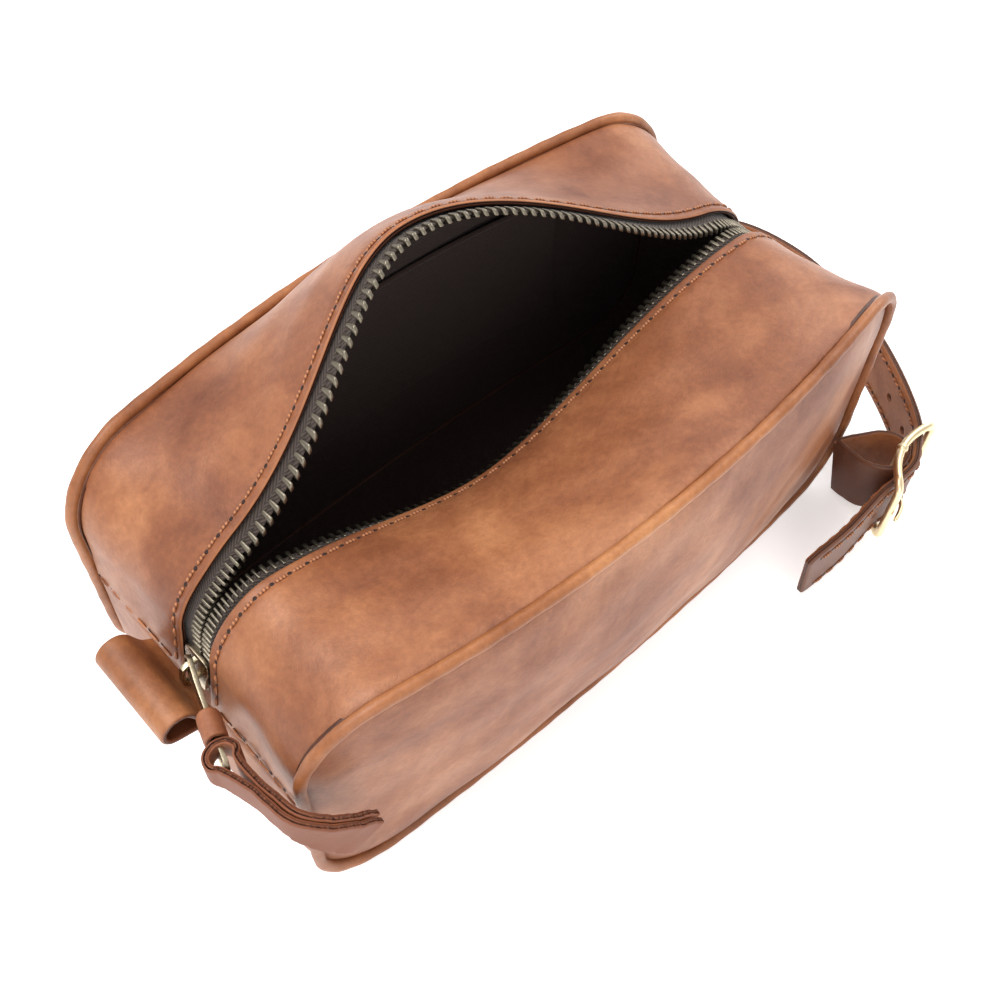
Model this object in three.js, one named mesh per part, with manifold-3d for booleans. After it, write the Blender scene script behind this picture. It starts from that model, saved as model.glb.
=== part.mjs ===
// A box-shaped leather shaving kit bag with piped ends, a metal zip along the top and a buckled
// side handle. Millimetres, +X along the bag (the handle end), -Y the front, +Z up. The origin is
// the middle of the flat underside.
import * as THREE from "three";
import { mergeVertices } from "three/addons/utils/BufferGeometryUtils.js";
import Module from "manifold-3d";

const wasm = await Module();
wasm.setup();

// Driving dimensions of the body
const bagLength = 235; // over the piping lines of the front panel
const bagHeight = 104; // underside to the top piping line
const endWidth = 103; // front piping line to back piping line at the two ends
const topBow = 13; // how far the top piping bows outwards at mid length
const bottomBow = 5;
const cornerRadius = 26;
const panelBelly = 8; // swell of the front and back panels between their piping
const leather = 1.8;
const liningCloth = 0.6;
const fitGap = 0.3;
const layerGap = 0.8; // between leather, tape and lining

// The strip between the front and back panels
const baseDrop = 2; // the base leather stands this far below its piping line
const baseRamp = 0.1; // share of the half width over which the base drops from its piping
const endBulge = 3; // outward swell of the end walls at half height
const endPinch = 5; // how far the zip pulls the end walls in
const topPinch = 9; // how far the zip sits below the piping at the top corners
const closedCrown = 11; // rise of the closed top over the pinched line at mid length
const topSwell = 4; // outward swell of each top panel between piping and zip
const seamHeight = 57; // where the top panels meet the base gusset on the end walls

// Zip
const lipHalfGap = 6.5; // half the distance between the two leather lips when closed
const tapeInner = 3.9;
const tapeOuter = 16;
const tapeThickness = 0.7;
const toothPitch = 2.7;
const toothReach = 0.6; // tip of a tooth from the centre line when closed
const toothRoot = 1.7;
const chainOuter = 3.6;
const toothThickness = 2.4;
const chainStartHeight = 60; // lowest tooth on the slider's end wall
const chainEndHeight = 80; // last tooth on the handle's end wall
const hingeHeight = 103; // the line about which each lip folds open
const hingeHalfWidth = 63.5;
const frontOpenAngle = 27;
const backOpenAngle = 47;
const openCentre = -15; // the widest place of the mouth
const openStart = -108;
const openEnd = 100;

// Piping
const pipeRadius = 1.8;
const pipeWall = 0.7;
const pipeCoreRadius = 0.75;
const pipeSteps = 48; // steps round a piping line
const pipeSlitAngle = 50; // degrees left open towards the seam

// Slider, pull and thong
const sliderHeight = 66.5; // middle of the slider above the base, zip open
const sliderLength = 13;
const sliderWidth = 10.5;
const sliderPlate = 1.2;
const bridgeRise = 5.4;
const bridgeWidth = 1.6;
const pullWidth = 5.4;
const pullThickness = 1.4;
const pullLength = 31;
const thongWidth = 12;
const thongLayer = 2.1;
const thongRingRadius = 4.3; // centre line of the fold round the pull
const collarLength = 8.5;

// End tab
const tabWidth = 32;
const tabShift = 3; // middle of the tab from the zip, towards the back
const tabReach = 19;
const tabHeight = 11.4;
const tabRise = 42; // degrees upwards from the end wall

// Handle
const strapWidth = 24;
const strapThickness = 2.8;
const chapeLayer = 1.8;
const buckleReach = 16; // bar to each end of the frame
const buckleWire = 1.6; // radius
const buckleBarRadius = 1.5;
const buckleDish = 5.5; // how far the frame's ends stand in front of its bar
const holePitch = 14;
const holeRadius = 1.6;
const adjusterHoles = 5;

// Inner pocket
const pocketWidth = 150;
const pocketTop = 84;
const pocketBottom = 30;
const pocketEase = 1.1; // how far the pocket hangs off the lining

const stripCells = 36; // cells along the strip pieces
const liningCells = 8; // cells across a top lining, close enough for its twist where it folds back
const halfLength = bagLength / 2;
const halfEnd = endWidth / 2;
const topLine = bagHeight;
const baseLine = baseDrop;
const flatRun = halfLength - cornerRadius;
const cornerRun = (cornerRadius * Math.PI) / 2;
const wallRun = topLine - baseLine - 2 * cornerRadius;
const halfLoop = 2 * flatRun + 2 * cornerRun + wallRun;

const radians = THREE.MathUtils.degToRad;
const smooth = (value, low, high) => THREE.MathUtils.smoothstep(value, low, high);
const vector = (x, y, z) => new THREE.Vector3(x, y, z);

// ---- the piping line and the strip between the panels ----

// A place on the piping line, by its distance from the top centre, positive towards +X.
function rim(distance) {
  const side = distance < 0 ? -1 : 1;
  let run = Math.abs(distance);
  if (run <= flatRun) return { x: side * run, z: topLine, nx: 0, nz: 1 };
  run -= flatRun;
  if (run <= cornerRun) return cornerPlace(side, run / cornerRadius, 1);
  run -= cornerRun;
  if (run <= wallRun) return { x: side * halfLength, z: topLine - cornerRadius - run, nx: side, nz: 0 };
  run -= wallRun;
  if (run <= cornerRun) return cornerPlace(side, Math.PI / 2 - run / cornerRadius, -1);
  run -= cornerRun;
  return { x: side * (flatRun - run), z: baseLine, nx: 0, nz: -1 };
}

// A place on a rounded corner, by its angle from the vertical.
function cornerPlace(side, angle, up) {
  const centre = up > 0 ? topLine - cornerRadius : baseLine + cornerRadius;
  const nx = side * Math.sin(angle);
  const nz = up * Math.cos(angle);
  return { x: side * flatRun + cornerRadius * nx, z: centre + cornerRadius * nz, nx, nz };
}

// Half the distance between the two piping lines at a place on them.
function rimHalfWidth(x, z) {
  const bow = THREE.MathUtils.lerp(bottomBow, topBow, (z - baseLine) / (topLine - baseLine));
  return halfEnd + bow * (1 - (x / halfLength) ** 2);
}

// How far the strip dips inwards of the piping line, across its width from -1 to 1.
function dip(place, across) {
  const arch = 1 - across * across;
  if (place.nz < 0) {
    const edge = Math.min(1, (1 - Math.abs(across)) / baseRamp);
    return place.nx ** 2 * -endBulge * arch - place.nz ** 2 * baseDrop * edge;
  }
  const high = smooth(place.z, 30, 90);
  const wall = THREE.MathUtils.lerp(-endBulge, endPinch, high) * arch;
  const along = 1 - (place.x / halfLength) ** 2;
  const swell = topSwell * 4 * Math.abs(across) * (1 - Math.abs(across));
  const top = (topPinch - closedCrown * along) * arch - swell * along;
  return place.nx ** 2 * wall + place.nz ** 2 * top;
}

// A point of the strip: distance along the piping line, place across and depth under the surface.
function stripPoint(distance, y, depth) {
  const place = rim(distance);
  const inward = dip(place, y / rimHalfWidth(place.x, place.z)) + depth;
  return vector(place.x - place.nx * inward, y, place.z - place.nz * inward);
}

// The distance along the piping line at which the straight end wall has a given height.
const wallDistance = (height) => flatRun + cornerRun + (topLine - cornerRadius - height);

// ---- the open mouth ----

// How far the mouth is folded open at a place along the bag, from 0 to 1.
function openShare(x) {
  return x < openCentre ? smooth(x, openStart, openCentre) : 1 - smooth(x, openCentre, openEnd);
}

// Folds a point of the closed top open about the line where its panel bends.
function foldOpen(point, side) {
  const angle = radians(side > 0 ? backOpenAngle : -frontOpenAngle) * openShare(point.x);
  const reach = hingeHalfWidth - side * point.y;
  const rise = point.z - hingeHeight;
  const turnedReach = reach * Math.cos(angle) - rise * Math.sin(angle);
  const turnedRise = reach * Math.sin(angle) + rise * Math.cos(angle);
  return vector(point.x, side * (hingeHalfWidth - turnedReach), hingeHeight + turnedRise);
}

// A point of the open top. Its outer edge stays on the piping.
function topPoint(distance, y, depth, side) {
  const open = foldOpen(stripPoint(distance, y, depth), side);
  const place = rim(distance);
  const edge = side * (rimHalfWidth(place.x, place.z) - pipeRadius - fitGap);
  const rest = stripPoint(distance, edge, depth);
  const pull = rest.clone().sub(foldOpen(rest, side));
  const share = THREE.MathUtils.clamp((y - side * lipHalfGap) / (edge - side * lipHalfGap), 0, 1);
  return open.add(pull.multiplyScalar(share * share));
}

// ---- solids ----

// A geometry with only shared positions, as a manifold solid.
function solid(geometry) {
  const bare = geometry.clone();
  bare.deleteAttribute("normal");
  bare.deleteAttribute("uv");
  const merged = mergeVertices(bare, 1e-4);
  return new wasm.Manifold(
    new wasm.Mesh({
      numProp: 3,
      vertProperties: new Float32Array(merged.attributes.position.array),
      triVerts: new Uint32Array(merged.index.array),
    }),
  );
}

// A manifold solid as a geometry.
function geometryOf(made) {
  const mesh = made.getMesh();
  const geometry = new THREE.BufferGeometry();
  geometry.setAttribute("position", new THREE.BufferAttribute(new Float32Array(mesh.vertProperties), 3));
  geometry.setIndex(new THREE.BufferAttribute(new Uint32Array(mesh.triVerts), 1));
  geometry.computeVertexNormals();
  return geometry;
}

const join = (...geometries) => geometryOf(geometries.map(solid).reduce((all, next) => all.add(next)));
const cut = (body, ...tools) =>
  geometryOf(tools.map(solid).reduce((left, tool) => left.subtract(tool), solid(body)));

// A sheet: a block of cells whose corners are moved to place(along, across, through), each 0 to 1.
function sheet(cellsAlong, cellsAcross, place) {
  const geometry = new THREE.BoxGeometry(1, 1, 1, cellsAlong, cellsAcross, 1);
  const position = geometry.attributes.position;
  for (let i = 0; i < position.count; i++) {
    const point = place(position.getX(i) + 0.5, position.getY(i) + 0.5, position.getZ(i) + 0.5);
    position.setXYZ(i, point.x, point.y, point.z);
  }
  return geometry;
}

// A closed ring: a section carried round a closed line. section is a list of [outward, forward].
function ring(stations, section, place) {
  const geometry = new THREE.TorusGeometry(2, 1, section.length, stations);
  const position = geometry.attributes.position;
  const perRow = stations + 1;
  for (let i = 0; i < position.count; i++) {
    const [outward, forward] = section[Math.floor(i / perRow) % section.length];
    const point = place((i % perRow) / stations, outward, forward);
    position.setXYZ(i, point.x, point.y, point.z);
  }
  return geometry;
}

// An outline drawn out straight, with no bevel.
function extruded(outline, depth, curveSegments) {
  return new THREE.ExtrudeGeometry(outline, { depth, bevelEnabled: false, curveSegments });
}

// A round rod along a curve, with flat ends.
function rod(curve, radius, steps, sides) {
  const section = new THREE.Shape();
  section.absarc(0, 0, radius, 0, 2 * Math.PI);
  return new THREE.ExtrudeGeometry(section, { steps, curveSegments: sides, extrudePath: curve });
}

const group = new THREE.Group();

// Adds a named piece with its material.
function piece(name, geometry, color, roughness, metalness = 0) {
  const material = new THREE.MeshStandardMaterial({ color, roughness, metalness });
  const mesh = new THREE.Mesh(geometry, material);
  mesh.name = name;
  group.add(mesh);
  return mesh;
}

const hide = 0x9a5f3c;
const edgeHide = 0xb8743f;
const tapeCloth = 0x3a302b;
const liningColor = 0x241a16;
const agedBrass = 0x8f8570;
const paleBrass = 0xcdbf9c;

// ---- front and back panels ----

// A panel or its lining: rings from the middle out to the piping line, drawn in by inset.
function panel(side, inset, depth, thickness) {
  const rings = [0, 0.45, 0.8, 1];
  const profile = rings.map((r) => new THREE.Vector2(r, 0));
  rings.slice().reverse().forEach((r) => profile.push(new THREE.Vector2(r, 1)));
  const spokes = 48;
  const geometry = new THREE.LatheGeometry(profile, spokes);
  const position = geometry.attributes.position;
  const middle = (topLine + baseLine) / 2;
  for (let i = 0; i < position.count; i++) {
    const share = rings[Math.min(i % profile.length, profile.length - 1 - (i % profile.length))];
    const front = i % profile.length >= rings.length;
    const spoke = Math.floor(i / profile.length) % spokes;
    const place = rim(halfLoop * ((2 * spoke) / spokes - 1));
    const x = (place.x - place.nx * inset) * share;
    const z = middle + (place.z - place.nz * inset - middle) * share;
    const out = rimHalfWidth(x, z) + panelBelly * (1 - share * share) - depth;
    position.setXYZ(i, side * x, side * (front ? out : out - thickness), z);
  }
  return geometry;
}

// How far out the swollen panel stands at any place on it.
function panelOut(x, z, inset) {
  const middle = (topLine + baseLine) / 2;
  const across = Math.abs(x);
  const up = Math.abs(z - middle);
  let inside = 0.01;
  let outside = 2;
  for (let i = 0; i < 24; i++) {
    const share = (inside + outside) / 2;
    const dx = Math.max(0, across / share - flatRun);
    const dz = Math.max(0, up / share - wallRun / 2);
    const within = Math.hypot(dx, dz) > cornerRadius - inset;
    if (within) inside = share;
    else outside = share;
  }
  return rimHalfWidth(x, z) + panelBelly * (1 - inside * inside);
}

// A slip pocket hanging flat against the back lining, open at its top edge.
function pocket(inset) {
  const depth = leather + fitGap + liningCloth + pocketEase;
  return sheet(12, 6, (u, v, w) => {
    const x = pocketWidth * (0.5 - u);
    const z = THREE.MathUtils.lerp(pocketBottom, pocketTop, v);
    return vector(x, panelOut(x, z, inset) - depth - liningCloth * (1 - w), z);
  });
}

function panels() {
  const edge = pipeRadius + fitGap;
  piece("front_panel", panel(-1, edge, 0, leather), hide, 0.55);
  piece("back_panel", panel(1, edge, 0, leather), hide, 0.55);
  const under = leather + fitGap;
  piece("front_lining", panel(-1, edge + 4, under, liningCloth), liningColor, 0.9);
  piece("back_lining", panel(1, edge + 4, under, liningCloth), liningColor, 0.9);
  piece("inner_pocket", pocket(edge + 4), liningColor, 0.9);
}

// ---- piping ----

// A place on a piping line, moved outwards from the strip and forwards from the panel.
function pipePoint(side, share, outward, forward) {
  const place = rim(halfLoop * (2 * share - 1) * side);
  const y = side * (rimHalfWidth(place.x, place.z) + forward);
  return vector(place.x + place.nx * outward, y, place.z + place.nz * outward);
}

function piping() {
  const turn = radians(pipeSlitAngle / 2);
  const slit = -Math.PI * 0.75;
  const arcSteps = 5;
  const wrap = [];
  for (let i = 0; i <= arcSteps; i++) {
    const angle = slit + turn + ((2 * Math.PI - 2 * turn) * i) / arcSteps;
    wrap.push([pipeRadius * Math.cos(angle), pipeRadius * Math.sin(angle)]);
  }
  for (let i = arcSteps; i >= 0; i--) {
    const angle = slit + turn + ((2 * Math.PI - 2 * turn) * i) / arcSteps;
    const inner = pipeRadius - pipeWall;
    wrap.push([inner * Math.cos(angle), inner * Math.sin(angle)]);
  }
  const coreSides = 5;
  const core = [];
  for (let i = 0; i < coreSides; i++) {
    const angle = (i * 2 * Math.PI) / coreSides;
    core.push([pipeCoreRadius * Math.cos(angle), pipeCoreRadius * Math.sin(angle)]);
  }
  for (const [name, side] of [["front", -1], ["back", 1]]) {
    const place = (share, outward, forward) => pipePoint(side, share, outward, forward);
    piece(name + "_piping", ring(pipeSteps, wrap, place), edgeHide, 0.5);
    piece(name + "_piping_cord", ring(pipeSteps, core, place), 0xd8cfc0, 0.9);
  }
}

// ---- strip pieces ----

const seamDistance = wallDistance(seamHeight);

function topPanels() {
  const reach = seamDistance - fitGap / 2;
  for (const [name, side] of [["front", -1], ["back", 1]]) {
    const strip = (from, to, depth, thickness, cells, across) =>
      sheet(cells, across, (u, v, w) => {
        const distance = THREE.MathUtils.lerp(-reach, reach, u);
        const place = rim(distance);
        const edge = rimHalfWidth(place.x, place.z) - to;
        const low = side > 0 ? from : -edge;
        const high = side > 0 ? edge : -from;
        return topPoint(distance, THREE.MathUtils.lerp(low, high, v), depth + thickness * (1 - w), side);
      });
    const edge = pipeRadius + fitGap;
    piece("top_panel_" + name, strip(lipHalfGap, edge, 0, leather, stripCells, 4), hide, 0.55);
    const under = leather + tapeThickness + 2 * layerGap;
    const liner = strip(lipHalfGap + 2, edge + 3, under, liningCloth, stripCells, liningCells);
    piece("top_lining_" + name, liner, liningColor, 0.9);
  }
}

function baseStrip() {
  const run = 2 * (halfLoop - seamDistance) - fitGap;
  const around = (u) => {
    const distance = seamDistance + fitGap / 2 + run * u;
    return distance > halfLoop ? distance - 2 * halfLoop : distance;
  };
  const strip = (insets, depth, thickness) =>
    sheet(stripCells, 2 * insets.length - 1, (u, v, w) => {
      const distance = around(u);
      const place = rim(distance);
      const column = Math.round(v * (2 * insets.length - 1));
      const side = column < insets.length ? -1 : 1;
      const inset = insets[side < 0 ? column : 2 * insets.length - 1 - column];
      const y = side * (rimHalfWidth(place.x, place.z) - inset);
      return stripPoint(distance, y, depth + thickness * (1 - w));
    });
  const edge = pipeRadius + fitGap;
  piece("base_gusset", strip([edge, edge + 5, edge + 25], 0, leather), hide, 0.55);
  piece("base_lining", strip([edge + 5, edge + 25], leather + layerGap, liningCloth), liningColor, 0.9);
}

// ---- zip ----

const chainFrom = -wallDistance(chainStartHeight);
const chainTo = wallDistance(chainEndHeight);
const chainDepth = leather + layerGap + tapeThickness / 2;

function zipTapes() {
  const from = chainFrom - 2.6;
  const to = chainTo + 6;
  for (const [name, side] of [["front", -1], ["back", 1]]) {
    const depth = leather + layerGap;
    const tape = sheet(stripCells, 1, (u, v, w) => {
      const low = side > 0 ? tapeInner : -tapeOuter;
      const high = side > 0 ? tapeOuter : -tapeInner;
      const y = THREE.MathUtils.lerp(low, high, v);
      return topPoint(THREE.MathUtils.lerp(from, to, u), y, depth + tapeThickness * (1 - w), side);
    });
    piece("zip_tape_" + name, tape, tapeCloth, 0.95);
  }
}

// One side of the chain: a bead whose inner edge steps in and out once a tooth.
function zipChains() {
  const teeth = Math.floor((chainTo - chainFrom) / toothPitch) - 1;
  const cells = 2 * teeth;
  for (const [name, side] of [["front", -1], ["back", 1]]) {
    const shift = side > 0 ? toothPitch / 2 : 0;
    const chain = sheet(cells, 1, (u, v, w) => {
      const step = Math.round(u * cells);
      const tip = step % 2 === 1 ? toothReach : toothRoot;
      const low = side > 0 ? tip : -chainOuter;
      const high = side > 0 ? chainOuter : -tip;
      const distance = chainFrom + shift + (step * toothPitch) / 2;
      const depth = chainDepth + toothThickness * (0.5 - w);
      return topPoint(distance, THREE.MathUtils.lerp(low, high, v), depth, side);
    });
    piece("zip_chain_" + name, chain, agedBrass, 0.4, 0.9);
  }
}

// Clamps at the ends of the chain: one across both sides at the bottom, one each at the top.
function zipStops() {
  const stop = (distance, low, high, side) =>
    sheet(1, 1, (u, v, w) =>
      topPoint(
        distance + 2.2 * (u - 0.5),
        THREE.MathUtils.lerp(low, high, v),
        chainDepth + toothThickness * (0.5 - w),
        side,
      ),
    );
  const below = chainFrom - fitGap - 1.1;
  piece("zip_bottom_stop", stop(below, -3.4, 3.4, -1), agedBrass, 0.4, 0.9);
  const above = chainTo + fitGap + 1.4;
  piece("zip_top_stop_front", stop(above, -3.4, -0.8, -1), agedBrass, 0.4, 0.9);
  piece("zip_top_stop_back", stop(above, 0.8, 3.4, 1), agedBrass, 0.4, 0.9);
}

// ---- slider, pull and thong ----

const sliderMiddle = stripPoint(-wallDistance(sliderHeight), 0, chainDepth);

// Outline of the slider's plates, wide at the mouth end: x across, y towards the mouth.
function sliderOutline() {
  const shape = new THREE.Shape();
  const half = sliderWidth / 2;
  const end = sliderLength / 2;
  shape.moveTo(-half * 0.72, -end);
  shape.lineTo(half * 0.72, -end);
  shape.lineTo(half * 0.8, -1);
  shape.quadraticCurveTo(half, 1, half, end - 2.5);
  shape.quadraticCurveTo(half, end, half - 2.5, end);
  shape.lineTo(-half + 2.5, end);
  shape.quadraticCurveTo(-half, end, -half, end - 2.5);
  shape.quadraticCurveTo(-half, 1, -half * 0.8, -1);
  shape.closePath();
  return shape;
}

// The slider lies in the plane of x across and y up; z points out of the bag.
function sliderGeometry() {
  const inner = toothThickness / 2 + fitGap;
  const plate = new THREE.ExtrudeGeometry(sliderOutline(), {
    depth: sliderPlate,
    bevelEnabled: false,
    curveSegments: 4,
  });
  const upper = plate.clone().translate(0, 0, inner);
  const lower = plate.clone().translate(0, 0, -inner - sliderPlate);
  const post = new THREE.BoxGeometry(0.6, 3, 2 * inner + sliderPlate).translate(0, 4.2, 0);
  const arch = new THREE.Shape();
  const foot = inner + sliderPlate - 0.3;
  arch.moveTo(-5, foot);
  arch.quadraticCurveTo(-5, foot + bridgeRise, -1.5, foot + bridgeRise);
  arch.lineTo(2.5, foot + bridgeRise);
  arch.quadraticCurveTo(5, foot + bridgeRise, 5, foot);
  arch.lineTo(3.6, foot);
  arch.quadraticCurveTo(3.6, foot + bridgeRise - 1.3, 2, foot + bridgeRise - 1.3);
  arch.lineTo(-1.5, foot + bridgeRise - 1.3);
  arch.quadraticCurveTo(-3.6, foot + bridgeRise - 1.3, -3.6, foot);
  arch.closePath();
  const bridge = extruded(arch, bridgeWidth, 4);
  bridge.translate(0, 0, -bridgeWidth / 2);
  bridge.applyMatrix4(new THREE.Matrix4().makeBasis(vector(0, 1, 0), vector(0, 0, 1), vector(1, 0, 0)));
  return join(upper, lower, post, bridge);
}

// Axes of the slider on its end wall: across is -Y, up follows the chain and out leaves the bag.
const sliderSpot = -wallDistance(sliderHeight);
const sliderUp = stripPoint(sliderSpot + 4, 0, chainDepth)
  .sub(stripPoint(sliderSpot - 4, 0, chainDepth))
  .normalize();
const sliderOut = vector(0, -1, 0).cross(sliderUp);
const sliderBasis = new THREE.Matrix4().makeBasis(vector(0, -1, 0), sliderUp, sliderOut);
const plateTop = toothThickness / 2 + fitGap + sliderPlate;
const pullLift = plateTop + 2.2; // the pull's eye in front of the slider
const pullRoot = sliderMiddle.clone().addScaledVector(sliderOut, pullLift).addScaledVector(sliderUp, 4.3);
const pullDirection = vector(-0.31, -0.95, 0.02).normalize();

function slider() {
  const geometry = sliderGeometry();
  geometry.applyMatrix4(sliderBasis);
  const mesh = piece("zip_slider", geometry, agedBrass, 0.35, 0.9);
  mesh.position.copy(sliderMiddle);
}

// Axes of the pull: its length, its width and its face. It lies against the end wall.
const pullFace = sliderOut.clone().addScaledVector(pullDirection, -sliderOut.dot(pullDirection)).normalize();
const pullSide = pullFace.clone().cross(pullDirection).normalize();
const pullBasis = new THREE.Matrix4().makeBasis(pullDirection, pullSide, pullFace);
const pullEye = 2.3; // half the opening of the eye round a leg of the slider's bridge

// A flat bar with a round eye for the slider and a long one for the thong.
function pull() {
  const outline = new THREE.Shape();
  const half = pullWidth / 2 + 0.7;
  outline.absarc(0, 0, half, Math.PI / 2, (3 * Math.PI) / 2);
  outline.lineTo(6, -pullWidth / 2 + 0.6);
  outline.lineTo(pullLength - 9, -pullWidth / 2 + 0.6);
  outline.lineTo(pullLength - 6, -pullWidth / 2);
  outline.absarc(pullLength, 0, pullWidth / 2, -Math.PI / 2, Math.PI / 2);
  outline.lineTo(pullLength - 6, pullWidth / 2);
  outline.lineTo(pullLength - 9, pullWidth / 2 - 0.6);
  outline.lineTo(6, pullWidth / 2 - 0.6);
  const eye = new THREE.Path();
  eye.absarc(0, 0, pullEye, 0, 2 * Math.PI);
  const slot = new THREE.Path();
  slot.absarc(pullLength - 4, 0, 1.5, Math.PI / 2, (3 * Math.PI) / 2);
  slot.absarc(pullLength, 0, 1.5, -Math.PI / 2, Math.PI / 2);
  outline.holes.push(eye, slot);
  const bar = extruded(outline, pullThickness, 6);
  bar.translate(0, 0, -pullThickness / 2);
  bar.applyMatrix4(pullBasis);
  const mesh = piece("zip_pull", bar, agedBrass, 0.3, 0.95);
  mesh.position.copy(pullRoot).addScaledVector(pullDirection, 0.9);
}

const pullEnd = pullRoot.clone().addScaledVector(pullDirection, pullLength);

// A ribbon along a curve, standing on edge: place along, across its width and through it.
function ribbon(curve, cells, width, thickness, lean, shift = 0) {
  return sheet(cells, 1, (u, v, w) => {
    const at = curve.getPointAt(u);
    const along = curve.getTangentAt(u);
    const upright = lean(u).clone().addScaledVector(along, -lean(u).dot(along)).normalize();
    const face = along.clone().cross(upright);
    at.addScaledVector(upright, width * (v - 0.5));
    return at.addScaledVector(face, thickness * (w - 0.5) + shift);
  });
}

// A strip folded round the end of the pull, with both halves lying round the bag's front corner.
function thong() {
  const upright = () => vector(0, 0, 1);
  const half = (thongLayer + fitGap) / 2;
  const corner = vector(-halfLength - 5.6, -halfEnd - 6.2, 79.5);
  const shared = [
    pullEnd.clone().add(vector(0.6, -8.5, 0.8)),
    pullEnd.clone().lerp(corner, 0.6).add(vector(-0.4, 0, 0)),
    corner,
    vector(-halfLength + 0.8, -halfEnd - 11.4, 72.5),
    vector(-halfLength + 8.8, -halfEnd - 13, 61.5),
  ];
  const middle = new THREE.CatmullRomCurve3(shared);
  const side = (share, shift) => {
    const across = middle.getTangentAt(share).cross(vector(0, 0, 1)).normalize();
    return middle.getPointAt(share).addScaledVector(across, shift * half);
  };
  const shares = [0.14, 0.3, 0.45, 0.6, 0.8, 1];
  const bend = (angle) => {
    const turn = radians(angle);
    return pullEnd.clone().add(vector(Math.sin(turn), Math.cos(turn), 0).multiplyScalar(thongRingRadius));
  };
  const path = [
    ...shares.map((share) => side(share, 1)).reverse(),
    ...[-140, -95, -48, 0, 48, 95, 140].map(bend),
    ...shares.map((share) => side(share, -1)),
  ];
  const folded = new THREE.CatmullRomCurve3(path, false, "centripetal");
  const strip = ribbon(folded, 60, thongWidth, thongLayer, upright);
  const slot = new THREE.BoxGeometry(18, pullWidth + 1.2, pullThickness + 1.2).applyMatrix4(pullBasis);
  slot.translate(...pullEnd.clone().addScaledVector(pullDirection, -5).toArray());
  piece("thong", cut(strip, slot), hide, 0.7);
}

// A leather sleeve on the pull, just above the thong.
function collar() {
  const sleeve = new THREE.Shape();
  sleeve.absellipse(0, 0, pullThickness / 2 + 2.7, pullWidth / 2 + 2.6, 0, 2 * Math.PI);
  const inside = new THREE.Path();
  inside.absellipse(0, 0, pullThickness / 2 + 0.9, pullWidth / 2 + 0.8, 0, 2 * Math.PI);
  sleeve.holes.push(inside);
  const tube = extruded(sleeve, collarLength, 8);
  tube.translate(0, 0, -thongRingRadius - thongLayer / 2 - fitGap - collarLength);
  tube.applyMatrix4(new THREE.Matrix4().makeBasis(pullFace, pullSide.clone().negate(), pullDirection));
  const mesh = piece("thong_collar", tube, hide, 0.7);
  mesh.position.copy(pullEnd);
}

// ---- end tab ----

// A strip rolled into a loop and sewn into the end seam over the zip.
function endTab() {
  const shape = new THREE.Shape();
  const outer = tabHeight / 2;
  const inner = outer - leather;
  const nose = outer - tabReach;
  const layers = leather + 0.15;
  shape.moveTo(0, layers);
  shape.quadraticCurveTo(nose * 0.45, layers, nose * 0.7, outer * 0.82);
  shape.absarc(nose, 0, outer, radians(62), radians(298));
  shape.quadraticCurveTo(nose * 0.45, -layers, 0, -layers);
  shape.lineTo(0, -0.15);
  shape.lineTo(nose * 0.45, -0.15);
  shape.absarc(nose, 0, inner, radians(310), radians(50), true);
  shape.lineTo(nose * 0.45, 0.15);
  shape.lineTo(0, 0.15);
  shape.closePath();
  const tab = extruded(shape, tabWidth, 10);
  tab.translate(0, 0, -tabWidth / 2);
  tab.rotateX(Math.PI / 2);
  const root = stripPoint(-seamDistance + 3, 0, 0);
  const mesh = piece("end_tab", tab, edgeHide, 0.6);
  mesh.position.set(root.x - leather - 2 * fitGap, tabShift, root.z);
  mesh.rotation.y = radians(tabRise);
}

// ---- handle ----

const barMiddle = vector(halfLength - 2, -halfEnd - 23.7, 20.5);
const strapWay = vector(-0.958, -0.287, 0).normalize();
const strapOut = vector(0.287, -0.958, 0).normalize();
const barHalf = strapWidth / 2 + 3;

// A place at the buckle: along the strap, out in front of the bar, and up.
const buckleAt = (along, out, up) =>
  barMiddle.clone().addScaledVector(strapWay, along).addScaledVector(strapOut, out).add(vector(0, 0, up));

const dish = (along) => buckleDish * (along / buckleReach) ** 2;

function buckleFrame() {
  const corner = 3.5;
  const outline = new THREE.Shape();
  outline.moveTo(buckleReach - corner, -barHalf);
  outline.absarc(buckleReach - corner, -barHalf + corner, corner, -Math.PI / 2, 0);
  outline.absarc(buckleReach - corner, barHalf - corner, corner, 0, Math.PI / 2);
  outline.absarc(-buckleReach + corner, barHalf - corner, corner, Math.PI / 2, Math.PI);
  outline.absarc(-buckleReach + corner, -barHalf + corner, corner, Math.PI, (3 * Math.PI) / 2);
  outline.closePath();
  const stations = 36;
  const spots = outline.getSpacedPoints(stations);
  const section = [];
  for (let i = 0; i < 6; i++) {
    const angle = (i * Math.PI) / 3;
    section.push([buckleWire * Math.cos(angle), buckleWire * Math.sin(angle)]);
  }
  const frame = ring(stations, section, (share, outward, forward) => {
    const i = Math.round(share * stations) % stations;
    const here = spots[i];
    const next = spots[(i + 1) % stations];
    const last = spots[(i + stations - 1) % stations];
    const way = next.clone().sub(last).normalize();
    return buckleAt(here.x + way.y * outward, dish(here.x) - forward, here.y - way.x * outward);
  });
  const barLine = new THREE.LineCurve3(buckleAt(0, 0, -barHalf), buckleAt(0, 0, barHalf));
  const bar = rod(barLine, buckleBarRadius, 1, 5);
  piece("buckle_frame", join(frame, bar), paleBrass, 0.3, 1);
}

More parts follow.
